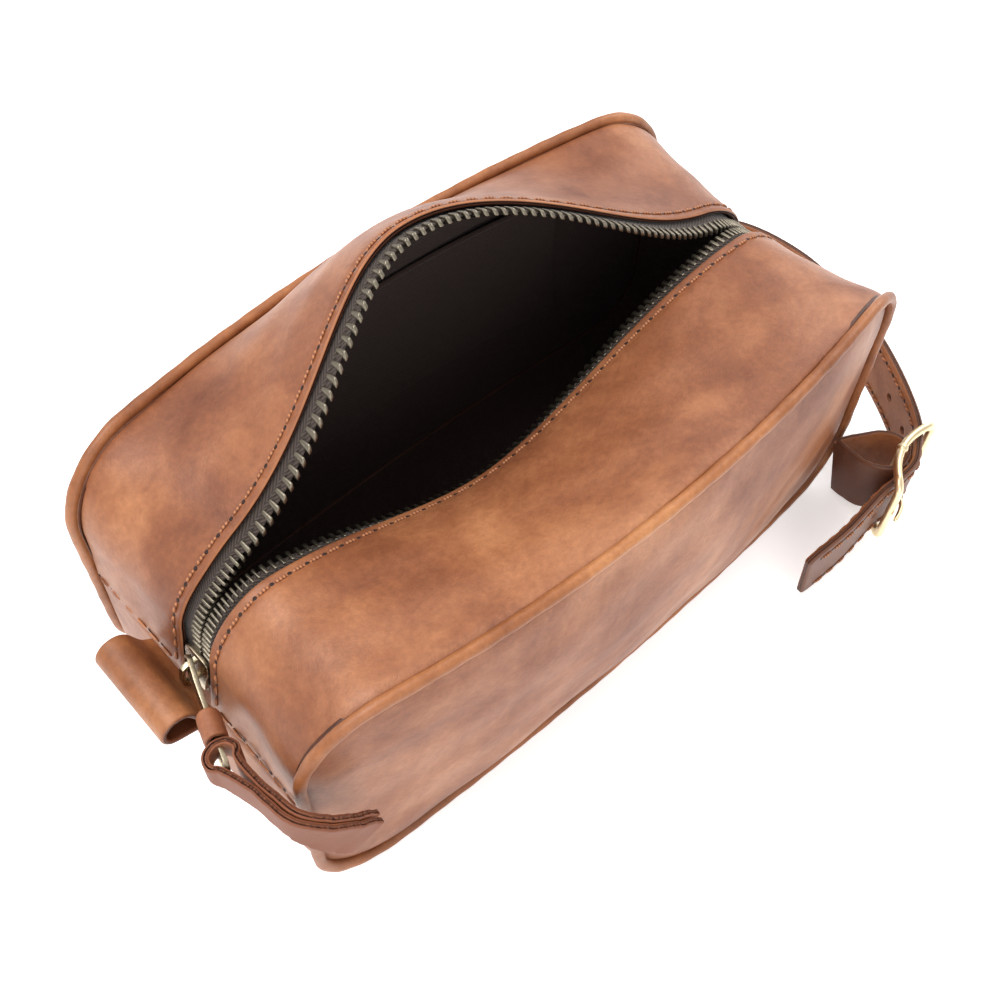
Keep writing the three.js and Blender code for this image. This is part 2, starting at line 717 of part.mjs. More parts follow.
function bucklePin() {
  const wire = 0.9;
  const eye = new THREE.TorusGeometry(2.7, 0.75, 6, 14);
  eye.applyMatrix4(new THREE.Matrix4().makeBasis(strapWay, strapOut, strapWay.clone().cross(strapOut)));
  eye.translate(barMiddle.x, barMiddle.y, barMiddle.z);
  const path = new THREE.CatmullRomCurve3([
    buckleAt(2.6, 1.2, 0),
    buckleAt(4.6, 3.2, 0),
    buckleAt(7, 5.6, 0),
    buckleAt(10, 7.9, 0),
    buckleAt(14, 8.6, 0),
    buckleAt(18, 8.5, 0),
  ]);
  piece("buckle_prong", join(eye, rod(path, wire, 10, 4)), paleBrass, 0.3, 1);
}

// The long strap: from the back seam round the end of the bag, through the buckle to its free end.
function strapLine() {
  const over = buckleWire + 5 * fitGap + strapThickness / 2;
  const hump = buckleBarRadius + chapeLayer + 2 * fitGap + strapThickness / 2 + 0.3;
  return new THREE.CatmullRomCurve3([
    vector(halfLength + 2.6, halfEnd - 3, 22),
    vector(halfLength + 20, halfEnd - 2, 22),
    vector(halfLength + 37, halfEnd - 15, 23),
    vector(halfLength + 43, 8, 24),
    vector(halfLength + 36, -28, 24.5),
    vector(halfLength + 26, -halfEnd, 23.5),
    buckleAt(-buckleReach, buckleDish - over, 0.3),
    buckleAt(-buckleReach / 2, (buckleDish - over + hump) / 2 + 0.6, 0),
    buckleAt(0, hump, 0),
    buckleAt(buckleReach / 2, (buckleDish - over + hump) / 2 + 0.6, 0),
    buckleAt(buckleReach, buckleDish - over, -0.3),
    vector(halfLength - 36, -halfEnd - 30, 17),
    vector(halfLength - 54, -halfEnd - 29, 15),
  ]);
}

function straps() {
  const line = strapLine();
  const upright = () => vector(0, 0, 1);
  const body = ribbon(line, 44, strapWidth, strapThickness, upright);
  const length = line.getLength();
  const tools = [];
  const pinPlace = nearestShare(line, buckleAt(6, 4.5, 0));
  for (let i = 0; i < adjusterHoles; i++) {
    const share = pinPlace - ((i - 1) * holePitch) / length;
    const across = line.getTangentAt(share).cross(vector(0, 0, 1));
    const at = line.getPointAt(share);
    const stretch = i === 1 ? 5.2 : 0;
    const ends = [at.clone().addScaledVector(across, -4), at.clone().addScaledVector(across, 4)];
    const hole = rod(new THREE.LineCurve3(...ends), holeRadius, 1, 4);
    tools.push(hole);
    if (stretch) tools.push(...slotTools(line, share, stretch, length));
  }
  piece("strap_long", cut(body, ...tools), hide, 0.6);

  const loop = new THREE.CatmullRomCurve3([
    buckleAt(-1.2, -19.3, -6),
    buckleAt(-4.6, -14, -4),
    buckleAt(-7.6, -7, -1.5),
    buckleAt(-6.9, -1.2, 0),
    buckleAt(-3.4, 2.2, 0),
    buckleAt(0, buckleBarRadius + fitGap + chapeLayer / 2, 0),
    buckleAt(3.4, 2.2, 0),
    buckleAt(6.9, -1.2, 0),
    buckleAt(7.6, -7, -1.5),
    buckleAt(4.6, -14, -4),
    buckleAt(1.2, -19.3, -6),
  ]);
  const chape = ribbon(loop, 32, strapWidth - 1, chapeLayer, upright);
  const slot = new THREE.BoxGeometry(11, 9, 3.6);
  slot.applyMatrix4(new THREE.Matrix4().makeBasis(strapWay, strapOut, strapWay.clone().cross(strapOut)));
  slot.translate(...buckleAt(1.5, 2.6, 0).toArray());
  piece("strap_chape", cut(chape, slot), hide, 0.6);
}

// The share of a curve's length nearest to a point.
function nearestShare(curve, point) {
  const steps = 800;
  let best = 0;
  for (let i = 1; i <= steps; i++) {
    const nearer = curve.getPointAt(i / steps).distanceTo(point) < curve.getPointAt(best).distanceTo(point);
    if (nearer) best = i / steps;
  }
  return best;
}

// Holes side by side along the strap, which together make the slot that the prong turns in.
function slotTools(line, share, stretch, length) {
  const tools = [];
  for (const offset of [-0.8, -0.4, 0.4, 0.8]) {
    const place = share + (offset * stretch) / length;
    const across = line.getTangentAt(place).cross(vector(0, 0, 1));
    const at = line.getPointAt(place);
    const ends = [at.clone().addScaledVector(across, -4), at.clone().addScaledVector(across, 4)];
    tools.push(rod(new THREE.LineCurve3(...ends), holeRadius, 1, 4));
  }
  return tools;
}

panels();
piping();
topPanels();
baseStrip();
zipTapes();
zipChains();
zipStops();
slider();
pull();
thong();
collar();
endTab();
buckleFrame();
bucklePin();
straps();

export default group;
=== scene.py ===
import bpy
import bmesh
import numpy as np
from mathutils import Matrix, Vector


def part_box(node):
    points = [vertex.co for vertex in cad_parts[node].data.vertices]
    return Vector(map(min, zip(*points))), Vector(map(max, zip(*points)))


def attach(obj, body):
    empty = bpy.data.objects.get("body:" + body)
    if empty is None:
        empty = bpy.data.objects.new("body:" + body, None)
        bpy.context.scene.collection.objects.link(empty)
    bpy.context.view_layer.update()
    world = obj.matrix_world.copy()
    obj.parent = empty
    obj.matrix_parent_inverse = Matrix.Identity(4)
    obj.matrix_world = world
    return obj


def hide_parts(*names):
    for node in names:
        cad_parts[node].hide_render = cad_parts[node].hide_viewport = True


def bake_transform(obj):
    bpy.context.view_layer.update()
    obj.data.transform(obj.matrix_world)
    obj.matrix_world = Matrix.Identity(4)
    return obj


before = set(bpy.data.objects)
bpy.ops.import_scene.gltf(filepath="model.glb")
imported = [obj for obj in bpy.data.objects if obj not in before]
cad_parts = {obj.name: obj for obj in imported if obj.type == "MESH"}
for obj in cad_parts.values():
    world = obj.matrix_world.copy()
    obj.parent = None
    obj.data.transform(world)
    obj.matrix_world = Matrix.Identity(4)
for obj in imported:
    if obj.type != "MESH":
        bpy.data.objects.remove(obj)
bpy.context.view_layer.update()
print("frame loaded")

# all shapes are worked out in millimetres and written to the meshes in metres
mm = 0.001

bag = {
    "halfLength": 117.5, "halfEnd": 51.5, "top": 104.0, "base": 2.0, "corner": 26.0,
    "topBow": 13.0, "bottomBow": 5.0, "belly": 8.0, "leather": 1.8, "lining": 0.6,
    "layerGap": 0.8, "pipe": 1.8, "seamHeight": 57.0,
    "endBulge": 3.0, "endPinch": 5.0, "topPinch": 9.0, "closedCrown": 11.0, "topSwell": 4.0,
    "baseDrop": 2.0, "baseRamp": 0.1,
}
mouth = {
    "hingeHeight": 103.0, "hingeHalfWidth": 63.5, "frontAngle": 27.0, "backAngle": 47.0,
    "centre": -15.0, "start": -108.0, "end": 100.0, "lip": 6.5,
}
flatRun = bag["halfLength"] - bag["corner"]
cornerRun = bag["corner"] * np.pi / 2
wallRun = bag["top"] - bag["base"] - 2 * bag["corner"]
halfLoop = 2 * flatRun + 2 * cornerRun + wallRun


crease = {"panel": 1.4, "panelShare": 0.022, "base": 1.1, "top": 1.0, "width": 1.6}
lipSeam = {"inset": 3.0, "groove": 0.35, "width": 1.1}


def smooth(value, low, high):
    t = np.clip((value - low) / (high - low), 0, 1)
    return t * t * (3 - 2 * t)


def unit(vectors):
    return vectors / np.linalg.norm(vectors, axis=-1, keepdims=True)


# distance of each point of a line from its first one, along the line
def runAlong(line):
    return np.concatenate([[0], np.cumsum(np.linalg.norm(np.diff(line, axis=0), axis=1))])


# the columns of values, known at some distances, read at others
def sample(values, known, at):
    return np.stack([np.interp(at, known, values[:, k]) for k in range(values.shape[1])], -1)


# a sine or cosine raised to a power below one, so that a circle turns into a rounded square
def squared(value, power):
    return np.sign(value) * np.abs(value) ** power


def link(obj):
    bpy.context.scene.collection.objects.link(obj)
    return obj


# the piping line by its distance from the top centre: straight and quarter circle, twice, and straight again
def rim(distance):
    side = np.where(distance < 0, -1.0, 1.0)
    run = np.abs(distance)
    r = bag["corner"]
    upper = np.clip((run - flatRun) / r, 0, np.pi / 2)
    lower = np.clip((run - flatRun - cornerRun - wallRun) / r, 0, np.pi / 2)
    angle = upper + lower
    wall = np.clip(run - flatRun - cornerRun, 0, wallRun)
    last = np.clip(run - flatRun - 2 * cornerRun - wallRun, 0, None)
    nx, nz = np.sin(angle), np.cos(angle)
    x = np.minimum(run, flatRun) + r * nx - last
    z = bag["top"] - r + r * nz - wall
    return side * x, z, side * nx, nz


# half the width between the piping lines: a parabola along the bag, bowed more at the top than at the base
def rimHalf(x, z):
    share = (z - bag["base"]) / (bag["top"] - bag["base"])
    bow = bag["bottomBow"] + (bag["topBow"] - bag["bottomBow"]) * share
    return bag["halfEnd"] + bow * (1 - (x / bag["halfLength"]) ** 2)


# how far the strip dips inwards of its piping line, as an arch across it
def dip(x, z, nx, nz, across):
    arch = 1 - across ** 2
    edge = np.minimum(1, (1 - np.abs(across)) / bag["baseRamp"])
    below = -bag["endBulge"] * nx ** 2 * arch - bag["baseDrop"] * nz ** 2 * edge
    high = smooth(z, 30, 90)
    wall = (-bag["endBulge"] + (bag["endPinch"] + bag["endBulge"]) * high) * arch
    along = 1 - (x / bag["halfLength"]) ** 2
    swell = bag["topSwell"] * 4 * np.abs(across) * (1 - np.abs(across))
    above = (bag["topPinch"] - bag["closedCrown"] * along) * arch - swell * along
    return np.where(nz < 0, below, nx ** 2 * wall + nz ** 2 * above)


def stripPoint(distance, y, depth):
    x, z, nx, nz = rim(distance)
    inward = dip(x, z, nx, nz, y / rimHalf(x, z)) + depth
    return np.stack([x - nx * inward, y + 0 * x, z - nz * inward], -1)


def wallDistance(height):
    return flatRun + cornerRun + bag["top"] - bag["corner"] - height


def openShare(x):
    left = smooth(x, mouth["start"], mouth["centre"])
    right = 1 - smooth(x, mouth["centre"], mouth["end"])
    return np.where(x < mouth["centre"], left, right)


# turns a point of the closed top about the line where its panel bends
def foldOpen(p, side):
    angle = np.radians(mouth["backAngle"] if side > 0 else -mouth["frontAngle"]) * openShare(p[..., 0])
    reach = mouth["hingeHalfWidth"] - side * p[..., 1]
    rise = p[..., 2] - mouth["hingeHeight"]
    turned = reach * np.cos(angle) - rise * np.sin(angle)
    lifted = reach * np.sin(angle) + rise * np.cos(angle)
    y = side * (mouth["hingeHalfWidth"] - turned)
    return np.stack([p[..., 0], y, mouth["hingeHeight"] + lifted], -1)


# a point of the open top, whose outer edge stays on the piping
def topPoint(distance, y, depth, side):
    x, z, nx, nz = rim(distance)
    edge = side * (rimHalf(x, z) - bag["pipe"] - 0.3)
    point = foldOpen(stripPoint(distance, y, depth), side)
    rest = stripPoint(distance, edge, depth)
    share = np.clip((y - side * mouth["lip"]) / (edge - side * mouth["lip"]), 0, 1)
    return point + (rest - foldOpen(rest, side)) * (share ** 2)[..., None]


# a mesh from points in millimetres and faces, turned right side out by the sign of its volume
def makeMesh(name, points, quads, material, uv=None, tags=None, normals=None):
    points = np.asarray(points, float).reshape(-1, 3)
    quads = np.asarray(quads, int)
    a, b, c, d = (points[quads[:, k]] for k in range(4))
    volume = np.einsum("ij,ij->", a, np.cross(b, c)) + np.einsum("ij,ij->", a, np.cross(c, d))
    if volume < 0:
        quads = quads[:, ::-1]
    mesh = bpy.data.meshes.new(name)
    mesh.from_pydata((points * mm).tolist(), [], quads.tolist())
    mesh.polygons.foreach_set("use_smooth", np.ones(len(quads), bool))
    if uv is not None:
        layer = mesh.uv_layers.new(name="run")
        layer.data.foreach_set("uv", (np.asarray(uv).reshape(-1, 2)[quads.ravel()] * mm).ravel())
    for key, values in (tags or {}).items():
        mesh.attributes.new(key, "FLOAT", "POINT").data.foreach_set("value", np.ravel(values).astype(float))
    mesh.validate()
    mesh.update()
    if normals is not None:
        mesh.normals_split_custom_set_from_vertices(np.asarray(normals).reshape(-1, 3).tolist())
    mesh.materials.append(material)
    return link(bpy.data.objects.new(name, mesh))


# how far a rounded edge has dropped at a distance from it: a quarter circle
def roundDrop(distance, radius):
    return radius - np.sqrt(np.clip(radius ** 2 - np.clip(radius - distance, 0, None) ** 2, 0, None))


# positions from low to high, closer together at ends that are rounded
def spread(low, high, count, radius, roundLow=True, roundHigh=True):
    near = radius * np.array([0, 0.04, 0.16, 0.4, 0.75, 1.3])
    inner = np.linspace(0, 1, count)
    parts = [low + near if roundLow else np.array([low])]
    start = low + (near[-1] if roundLow else 0)
    stop = high - (near[-1] if roundHigh else 0)
    parts.append(start + (stop - start) * inner[1:-1])
    parts.append(high - near[::-1] if roundHigh else np.array([high]))
    return np.concatenate(parts)


def gridQuads(n, m, offset=0):
    i = np.arange(n * m).reshape(n, m) + offset
    return np.stack([i[:-1, :-1], i[1:, :-1], i[1:, 1:], i[:-1, 1:]], -1).reshape(-1, 4)


# faces of n rings of m points, each ring joined to the next, and the last to the first if closed
def ringQuads(n, m, closed=False):
    i = np.arange(n * m).reshape(n, m)
    i = np.concatenate([i, i[:, :1]], 1)
    if closed:
        i = np.concatenate([i, i[:1]], 0)
    return np.stack([i[:-1, :-1], i[1:, :-1], i[1:, 1:], i[:-1, 1:]], -1).reshape(-1, 4)


# faces of a shell: an outer grid and an inner one, joined round their border
def shellQuads(n, m):
    count = n * m
    index = np.arange(count).reshape(n, m)
    ringAt = np.concatenate([index[0, :-1], index[:-1, -1], index[-1, :0:-1], index[:0:-1, 0]])
    nextAt = np.roll(ringAt, -1)
    sides = np.stack([ringAt, nextAt, nextAt + count, ringAt + count], -1)
    return np.concatenate([gridQuads(n, m)[:, ::-1], gridQuads(n, m, count), sides])


# many copies of one piece's faces, each using the next block of points
def repeatQuads(one, copies, points):
    return (one[None] + (np.arange(copies) * points)[:, None, None]).reshape(-1, 4)


# a sheet with thickness: an outer and an inner grid joined round their border, with rounded cut edges.
# place(along, across, depth) gives the points; low and high give the across limits at each along.
def makeSheet(name, place, along, low, high, across, thickness, material, ends=(True, True),
              edgeRadius=0.45, shared=False):
    radius = edgeRadius * thickness
    s = spread(along[0], along[1], along[2], radius, *ends)
    lowAt, highAt = low(s), high(s)
    width = highAt - lowAt
    evenly = np.linspace(0, 1, across)
    near = radius * np.array([0, 0.04, 0.16, 0.4, 0.75, 1.3])
    inside = near[-1] + (width - 2 * near[-1])[:, None] * evenly[None, 1:-1]
    ending = width[:, None] - near[::-1][None, :]
    offset = np.concatenate([np.tile(near, (len(s), 1)), inside, ending], 1)
    u = np.repeat(s[:, None], offset.shape[1], 1)
    v = lowAt[:, None] + offset
    fromEdge = np.minimum(offset, width[:, None] - offset)
    fromStart = u - along[0] if ends[0] else np.full_like(u, 99.0)
    fromEnd = along[1] - u if ends[1] else np.full_like(u, 99.0)
    border = np.minimum(fromEdge, np.minimum(fromStart, fromEnd))
    drop = roundDrop(border, radius)
    outer = place(u, v, drop)
    inner = place(u, v, thickness - drop)
    uv = np.tile(np.stack([u.ravel(), v.ravel()], -1), (2, 1))
    face = np.concatenate([drop.ravel() / radius * 0.5, 1 - drop.ravel() / radius * 0.5])
    tags = {"edge": np.concatenate([border.ravel()] * 2), "flesh": face}
    normals = None
    if shared:
        e = 0.05
        du = place(u + e, v, drop) - place(u - e, v, drop)
        dv = place(u, v + e, drop) - place(u, v - e, drop)
        across3 = np.cross(du, dv)
        across3 /= np.linalg.norm(across3, axis=-1, keepdims=True) + 1e-12
        outward = np.sign(np.einsum("ijk,ijk->", across3, outer - inner))
        across3 *= outward
        side = np.cross(du, across3)
        side /= np.linalg.norm(side, axis=-1, keepdims=True) + 1e-12
        side *= np.sign(np.einsum("ijk,ijk->ij", side, dv))[..., None]
        side *= np.where(offset > width[:, None] / 2, 1, -1)[..., None]
        tilt = np.clip(1 - fromEdge / radius, 0, 1)[..., None]
        lift = np.sqrt(1 - tilt ** 2)
        normals = np.concatenate([(across3 * lift + side * tilt).reshape(-1, 3),
                                  (-across3 * lift + side * tilt).reshape(-1, 3)])
    points = np.concatenate([outer.reshape(-1, 3), inner.reshape(-1, 3)])
    return makeMesh(name, points, shellQuads(*u.shape), material, uv, tags, normals)


# a tube: rings of a round or oval section carried along a line, with rounded or closed ends
def makeTube(name, line, radius, material, sides=16, closed=False, flat=1.0, up=(0, 0, 1)):
    line = np.asarray(line, float)
    way = np.roll(line, -1, 0) - np.roll(line, 1, 0) if closed else np.gradient(line, axis=0)
    way = unit(way)
    sideways = unit(np.cross(way, np.asarray(up, float) * np.ones_like(line)))
    upright = np.cross(sideways, way)
    angle = np.linspace(0, 2 * np.pi, sides, endpoint=False)
    r = np.broadcast_to(np.asarray(radius, float), len(line))
    ring = sideways[:, None] * np.cos(angle)[None, :, None]
    ring = ring + flat * upright[:, None] * np.sin(angle)[None, :, None]
    points = line[:, None] + ring * r[:, None, None]
    n = len(line)
    quads = ringQuads(n, sides, closed)
    points = points.reshape(-1, 3)
    if not closed:
        caps = []
        for row, centre in ((0, line[0]), (n - 1, line[-1])):
            middle = len(points)
            points = np.concatenate([points, centre[None]])
            around = np.arange(sides) + row * sides
            even = around.reshape(-1, 2)
            following = np.roll(around, -1).reshape(-1, 2)[:, 1]
            cap = np.stack([even[:, 0], even[:, 1], following, np.full(len(even), middle)], -1)
            caps.append(cap if row == 0 else cap[:, ::-1])
        quads = np.concatenate([quads] + caps)
    uv = np.stack([np.repeat(runAlong(line), sides), np.tile(angle, n) * np.mean(r)], -1)
    if len(points) > len(uv):
        uv = np.concatenate([uv, np.zeros((len(points) - len(uv), 2))])
    return makeMesh(name, points, quads, material, uv)


# a curve through points, its knots spaced by the square root of their distances, resampled evenly by length
def curveThrough(knots, step=0.5):
    p = np.asarray(knots, float)
    p = np.concatenate([[2 * p[0] - p[1]], p, [2 * p[-1] - p[-2]]])
    out = []
    for a, b, c, d in zip(p[:-3], p[1:-2], p[2:-1], p[3:]):
        t1 = np.sqrt(np.linalg.norm(b - a))
        t2 = t1 + np.sqrt(np.linalg.norm(c - b))
        t3 = t2 + np.sqrt(np.linalg.norm(d - c))
        t = np.linspace(t1, t2, 24, endpoint=False)[:, None]
        ab = (t1 - t) / t1 * a + t / t1 * b
        bc = (t2 - t) / (t2 - t1) * b + (t - t1) / (t2 - t1) * c
        cd = (t3 - t) / (t3 - t2) * c + (t - t2) / (t3 - t2) * d
        abc = (t2 - t) / t2 * ab + t / t2 * bc
        bcd = (t3 - t) / (t3 - t1) * bc + (t - t1) / (t3 - t1) * cd
        out.append((t2 - t) / (t2 - t1) * abc + (t - t1) / (t2 - t1) * bcd)
    line = np.concatenate(out + [p[-2][None]])
    length = runAlong(line)
    even = np.linspace(0, length[-1], max(int(length[-1] / step), 8))
    return sample(line, length, even), length[-1]


# a strip on edge along a curve: place(along, across, depth), with across measured up and depth through it
def ribbonPlace(line, total, width, thickness, up=(0, 0, 1)):
    even = np.linspace(0, total, len(line))
    way = unit(np.gradient(line, axis=0))
    lean = unit(np.asarray(up, float) - way * (way @ np.asarray(up, float))[:, None])
    face = np.cross(way, lean)

    def place(u, v, depth):
        beyond = np.minimum(u, 0) + np.maximum(u - total, 0)
        middle = sample(line, even, u) + sample(way, even, u) * beyond[..., None]
        through = sample(face, even, u) * (thickness / 2 - depth)[..., None]
        return middle + sample(lean, even, u) * v[..., None] + through

    return place


def constant(value):
    return lambda s: np.full_like(s, value, dtype=float)


def linear(hexColour):
    c = np.array([int(hexColour[i:i + 2], 16) / 255 for i in (1, 3, 5)])
    c = np.where(c <= 0.04045, c / 12.92, ((c + 0.055) / 1.055) ** 2.4)
    return (*c, 1.0)


# adds a node: inputs maps a socket to a value or to another node's output
def addNode(tree, kind, inputs=None, **settings):
    node = tree.nodes.new(kind)
    for key, value in settings.items():
        setattr(node, key, value)
    for key, value in (inputs or {}).items():
        if isinstance(value, bpy.types.NodeSocket):
            tree.links.new(value, node.inputs[key])
        else:
            node.inputs[key].default_value = value
    return node


def startMaterial(name):
    material = bpy.data.materials.new(name)
    material.use_nodes = True
    tree = material.node_tree
    tree.nodes.clear()
    return material, tree


def ramp(tree, value, stops):
    node = addNode(tree, "ShaderNodeValToRGB", {0: value})
    elements = node.color_ramp.elements
    while len(elements) < len(stops):
        elements.new(0.5)
    for element, (place, colour) in zip(elements, stops):
        element.position = place
        element.color = linear(colour) if isinstance(colour, str) else (colour, colour, colour, 1)
    return node.outputs[0]


def mixColour(tree, share, a, b, blend="MIX"):
    node = addNode(tree, "ShaderNodeMix", {0: share, 6: a, 7: b}, data_type="RGBA", blend_type=blend)
    return node.outputs[2]


def maths(tree, operation, a, b=0.0):
    return addNode(tree, "ShaderNodeMath", {0: a, 1: b}, operation=operation).outputs[0]


# the weighted sum of two values
def weigh(tree, a, x, b, y):
    return maths(tree, "ADD", maths(tree, "MULTIPLY", a, x), maths(tree, "MULTIPLY", b, y))


# noise on the object's own coordinates, with patches of a size in millimetres
def noise(tree, where, patchMm, **settings):
    inputs = {"Vector": where, "Scale": 1000 / patchMm, **{k.title(): v for k, v in settings.items()}}
    return addNode(tree, "ShaderNodeTexNoise", inputs).outputs[0]


def objectPlace(tree):
    return addNode(tree, "ShaderNodeTexCoord").outputs["Object"]


def finishMaterial(tree, inputs, height=None, bump=0.3, bumpMm=0.3):
    if height is not None:
        inputs["Normal"] = addNode(tree, "ShaderNodeBump", {"Height": height, "Strength": bump,
                                                            "Distance": bumpMm * mm}).outputs[0]
    shader = addNode(tree, "ShaderNodeBsdfPrincipled", inputs)
    addNode(tree, "ShaderNodeOutputMaterial", {0: shader.outputs[0]})


# pull-up leather: oiled and waxed cowhide, which pales and warms where it is bent or rubbed. Cloudy patches
# about 50 mm across, fine grain about 1 mm, a satin wax finish; the flesh side is fibrous
def leather(name, tones, roughness=0.46, flesh="#7a5a49", cut="#c07a48", cloud=52.0, edgeWear=1.0):
    material, tree = startMaterial(name)
    where = objectPlace(tree)
    clouds = noise(tree, where, cloud, detail=5.0, roughness=0.62, distortion=0.35)
    streaks = noise(tree, where, 9.0, detail=6.0, roughness=0.7, distortion=0.6)
    mixed = weigh(tree, clouds, 0.78, streaks, 0.22)
    colour = ramp(tree, mixed, [(0.34, tones[0]), (0.48, tones[1]), (0.58, tones[2]), (0.7, tones[3])])
    # wrinkle net and pores of the grain, drawn about 1.3 mm wide so that they show
    grain = addNode(tree, "ShaderNodeTexVoronoi", {"Vector": where, "Scale": 1000 / 1.3},
                    feature="DISTANCE_TO_EDGE").outputs[0]
    fine = noise(tree, where, 1.6, detail=4.0, roughness=0.65)
    speck = ramp(tree, fine, [(0.35, 0.8), (0.65, 1.04)])
    colour = mixColour(tree, 0.7, colour, speck, "MULTIPLY")
    side = addNode(tree, "ShaderNodeAttribute", attribute_name="flesh").outputs["Fac"]
    border = addNode(tree, "ShaderNodeAttribute", attribute_name="edge").outputs["Fac"]
    rubbed = ramp(tree, maths(tree, "ADD", border, maths(tree, "MULTIPLY", streaks, 0.9)),
                  [(0.35, edgeWear * 0.75), (1.0, 0.0)])
    colour = mixColour(tree, rubbed, colour, linear(cut))
    cutMask = ramp(tree, side, [(0.28, 0.0), (0.42, 1.0)])
    colour = mixColour(tree, cutMask, colour, mixColour(tree, streaks, linear(flesh), linear(tones[0])))
    gloss = ramp(tree, mixed, [(0.35, roughness + 0.08), (0.7, roughness - 0.05)])
    height = weigh(tree, ramp(tree, grain, [(0.0, 0.0), (0.18, 1.0)]), 0.35, fine, 0.9)
    finishMaterial(tree, {"Base Color": colour, "Roughness": gloss, "IOR": 1.5, "Specular IOR Level": 0.45},
                   height, 0.35, 0.22)
    return material


# woven cloth: threads crossing at right angles along the piece's own run
def cloth(name, dark, light, threadMm=0.9, roughness=0.9, twill=False):
    material, tree = startMaterial(name)
    where = addNode(tree, "ShaderNodeUVMap", uv_map="run").outputs[0]
    split = addNode(tree, "ShaderNodeSeparateXYZ", {0: where})
    turns = 2 * np.pi * 1000 / threadMm
    if twill:
        # herringbone: diagonal ribs that change direction every few millimetres across the tape
        zigzag = maths(tree, "PINGPONG", split.outputs[1], 0.0036)
        diagonal = maths(tree, "ADD", split.outputs[0], maths(tree, "MULTIPLY", zigzag, 1.3))
        weave = maths(tree, "SINE", maths(tree, "MULTIPLY", diagonal, turns))
        weave = maths(tree, "MULTIPLY", maths(tree, "ADD", weave, 1.0), 0.5)
    else:
        a = maths(tree, "SINE", maths(tree, "MULTIPLY", split.outputs[0], turns))
        b = maths(tree, "SINE", maths(tree, "MULTIPLY", split.outputs[1], turns))
        weave = maths(tree, "MULTIPLY", maths(tree, "ADD", maths(tree, "MULTIPLY", a, b), 1.0), 0.5)
    shade = weigh(tree, weave, 0.75, noise(tree, objectPlace(tree), 10 / 9, detail=3.0), 0.3)
    colour = ramp(tree, shade, [(0.15, dark), (0.9, light)])
    finishMaterial(tree, {"Base Color": colour, "Roughness": roughness, "IOR": 1.46, "Sheen Weight": 0.15,
                          "Sheen Roughness": 0.5}, weave, 0.5, 0.2)
    return material


# cast and plated metal: rubbed bright on the high places, darker in the low ones
def metal(name, dark, bright, roughness=0.32, spot=3.0, bump=0.08):
    material, tree = startMaterial(name)
    where = objectPlace(tree)
    tarnish = noise(tree, where, spot, detail=5.0, roughness=0.65)
    raised = addNode(tree, "ShaderNodeNewGeometry").outputs["Pointiness"]
    shade = maths(tree, "ADD", maths(tree, "MULTIPLY", tarnish, 0.6),
                  ramp(tree, raised, [(0.46, 0.0), (0.58, 0.5)]))
    colour = ramp(tree, shade, [(0.25, dark), (0.6, bright)])
    gloss = ramp(tree, tarnish, [(0.3, roughness + 0.14), (0.7, roughness - 0.06)])
    finishMaterial(tree, {"Base Color": colour, "Metallic": 1.0, "Roughness": gloss}, tarnish, bump, 0.15)
    return material


# polyester sewing thread, waxed, two plies twisted
def thread(name, colour):
    material, tree = startMaterial(name)
    where = objectPlace(tree)
    wound = {"Vector": where, "Scale": 300.0, "Distortion": 1.0}
    twist = addNode(tree, "ShaderNodeTexWave", wound).outputs[1]
    # the darker brown mixed in along the twist is painted shade in the grooves between the plies
    shade = mixColour(tree, twist, linear(colour), linear("#6b3a24"))
    finishMaterial(tree, {"Base Color": shade, "Roughness": 0.6, "IOR": 1.5}, twist, 0.4, 0.1)
    return material


tones = {
    "body": ("#6b3820", "#8a5233", "#a06642", "#b77c54"),
    "rubbed": ("#743f20", "#945a34", "#a96c42", "#c08455"),
    "thong": ("#6f3b22", "#8c5436", "#a26747", "#b77a58"),
    "tab": ("#744022", "#935b36", "#ab7046", "#c08657"),
}
bodyLeather = leather("waxed pull-up leather", tones["body"], flesh="#1d120e")
pipingLeather = leather("thin rolled leather", tones["rubbed"], 0.42, edgeWear=0.0)
strapLeather = leather("waxed strap leather", tones["rubbed"], 0.5, flesh="#5c4338", cut="#6f3b20")
thongLeather = leather("rough cut leather", tones["thong"], 0.6, flesh="#814a2e", cut="#7c4024")
tabLeather = leather("smooth tab leather", tones["tab"], 0.44, flesh="#5a3423", cut="#6b3a20")
liningCloth = cloth("dark cotton lining", "#1f1410", "#45302a", 0.9)
tapeCloth = cloth("herringbone zip tape", "#241b17", "#4a3c34", 1.5, 0.85, twill=True)
antiqueBrass = metal("antique brass", "#2c2822", "#7d7567", 0.38)
darkBrass = metal("oiled slider brass", "#5b5041", "#b9aa90", 0.26)
paleBrass = metal("satin pale gold plate", "#b79d74", "#f0dcb4", 0.3, 6.0)
seamThread = thread("waxed brown thread", "#b97a4e")
# the hole discs' colour: a near-black brown, painted shade for the inside of each hole
holeShade, holeTree = startMaterial("painted needle hole shade")
finishMaterial(holeTree, {"Base Color": linear("#2a140b"), "Roughness": 0.8})
print("materials made")


def settle(obj, body, slot, *nodes):
    if body:
        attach(obj, body)
    if nodes:
        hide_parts(*nodes)
    return obj


stitch = {"pitch": 5.4, "length": 4.2, "radius": 0.52, "rise": 0.5, "root": 0.12, "hole": 0.75,
          "cells": (9, 6)}
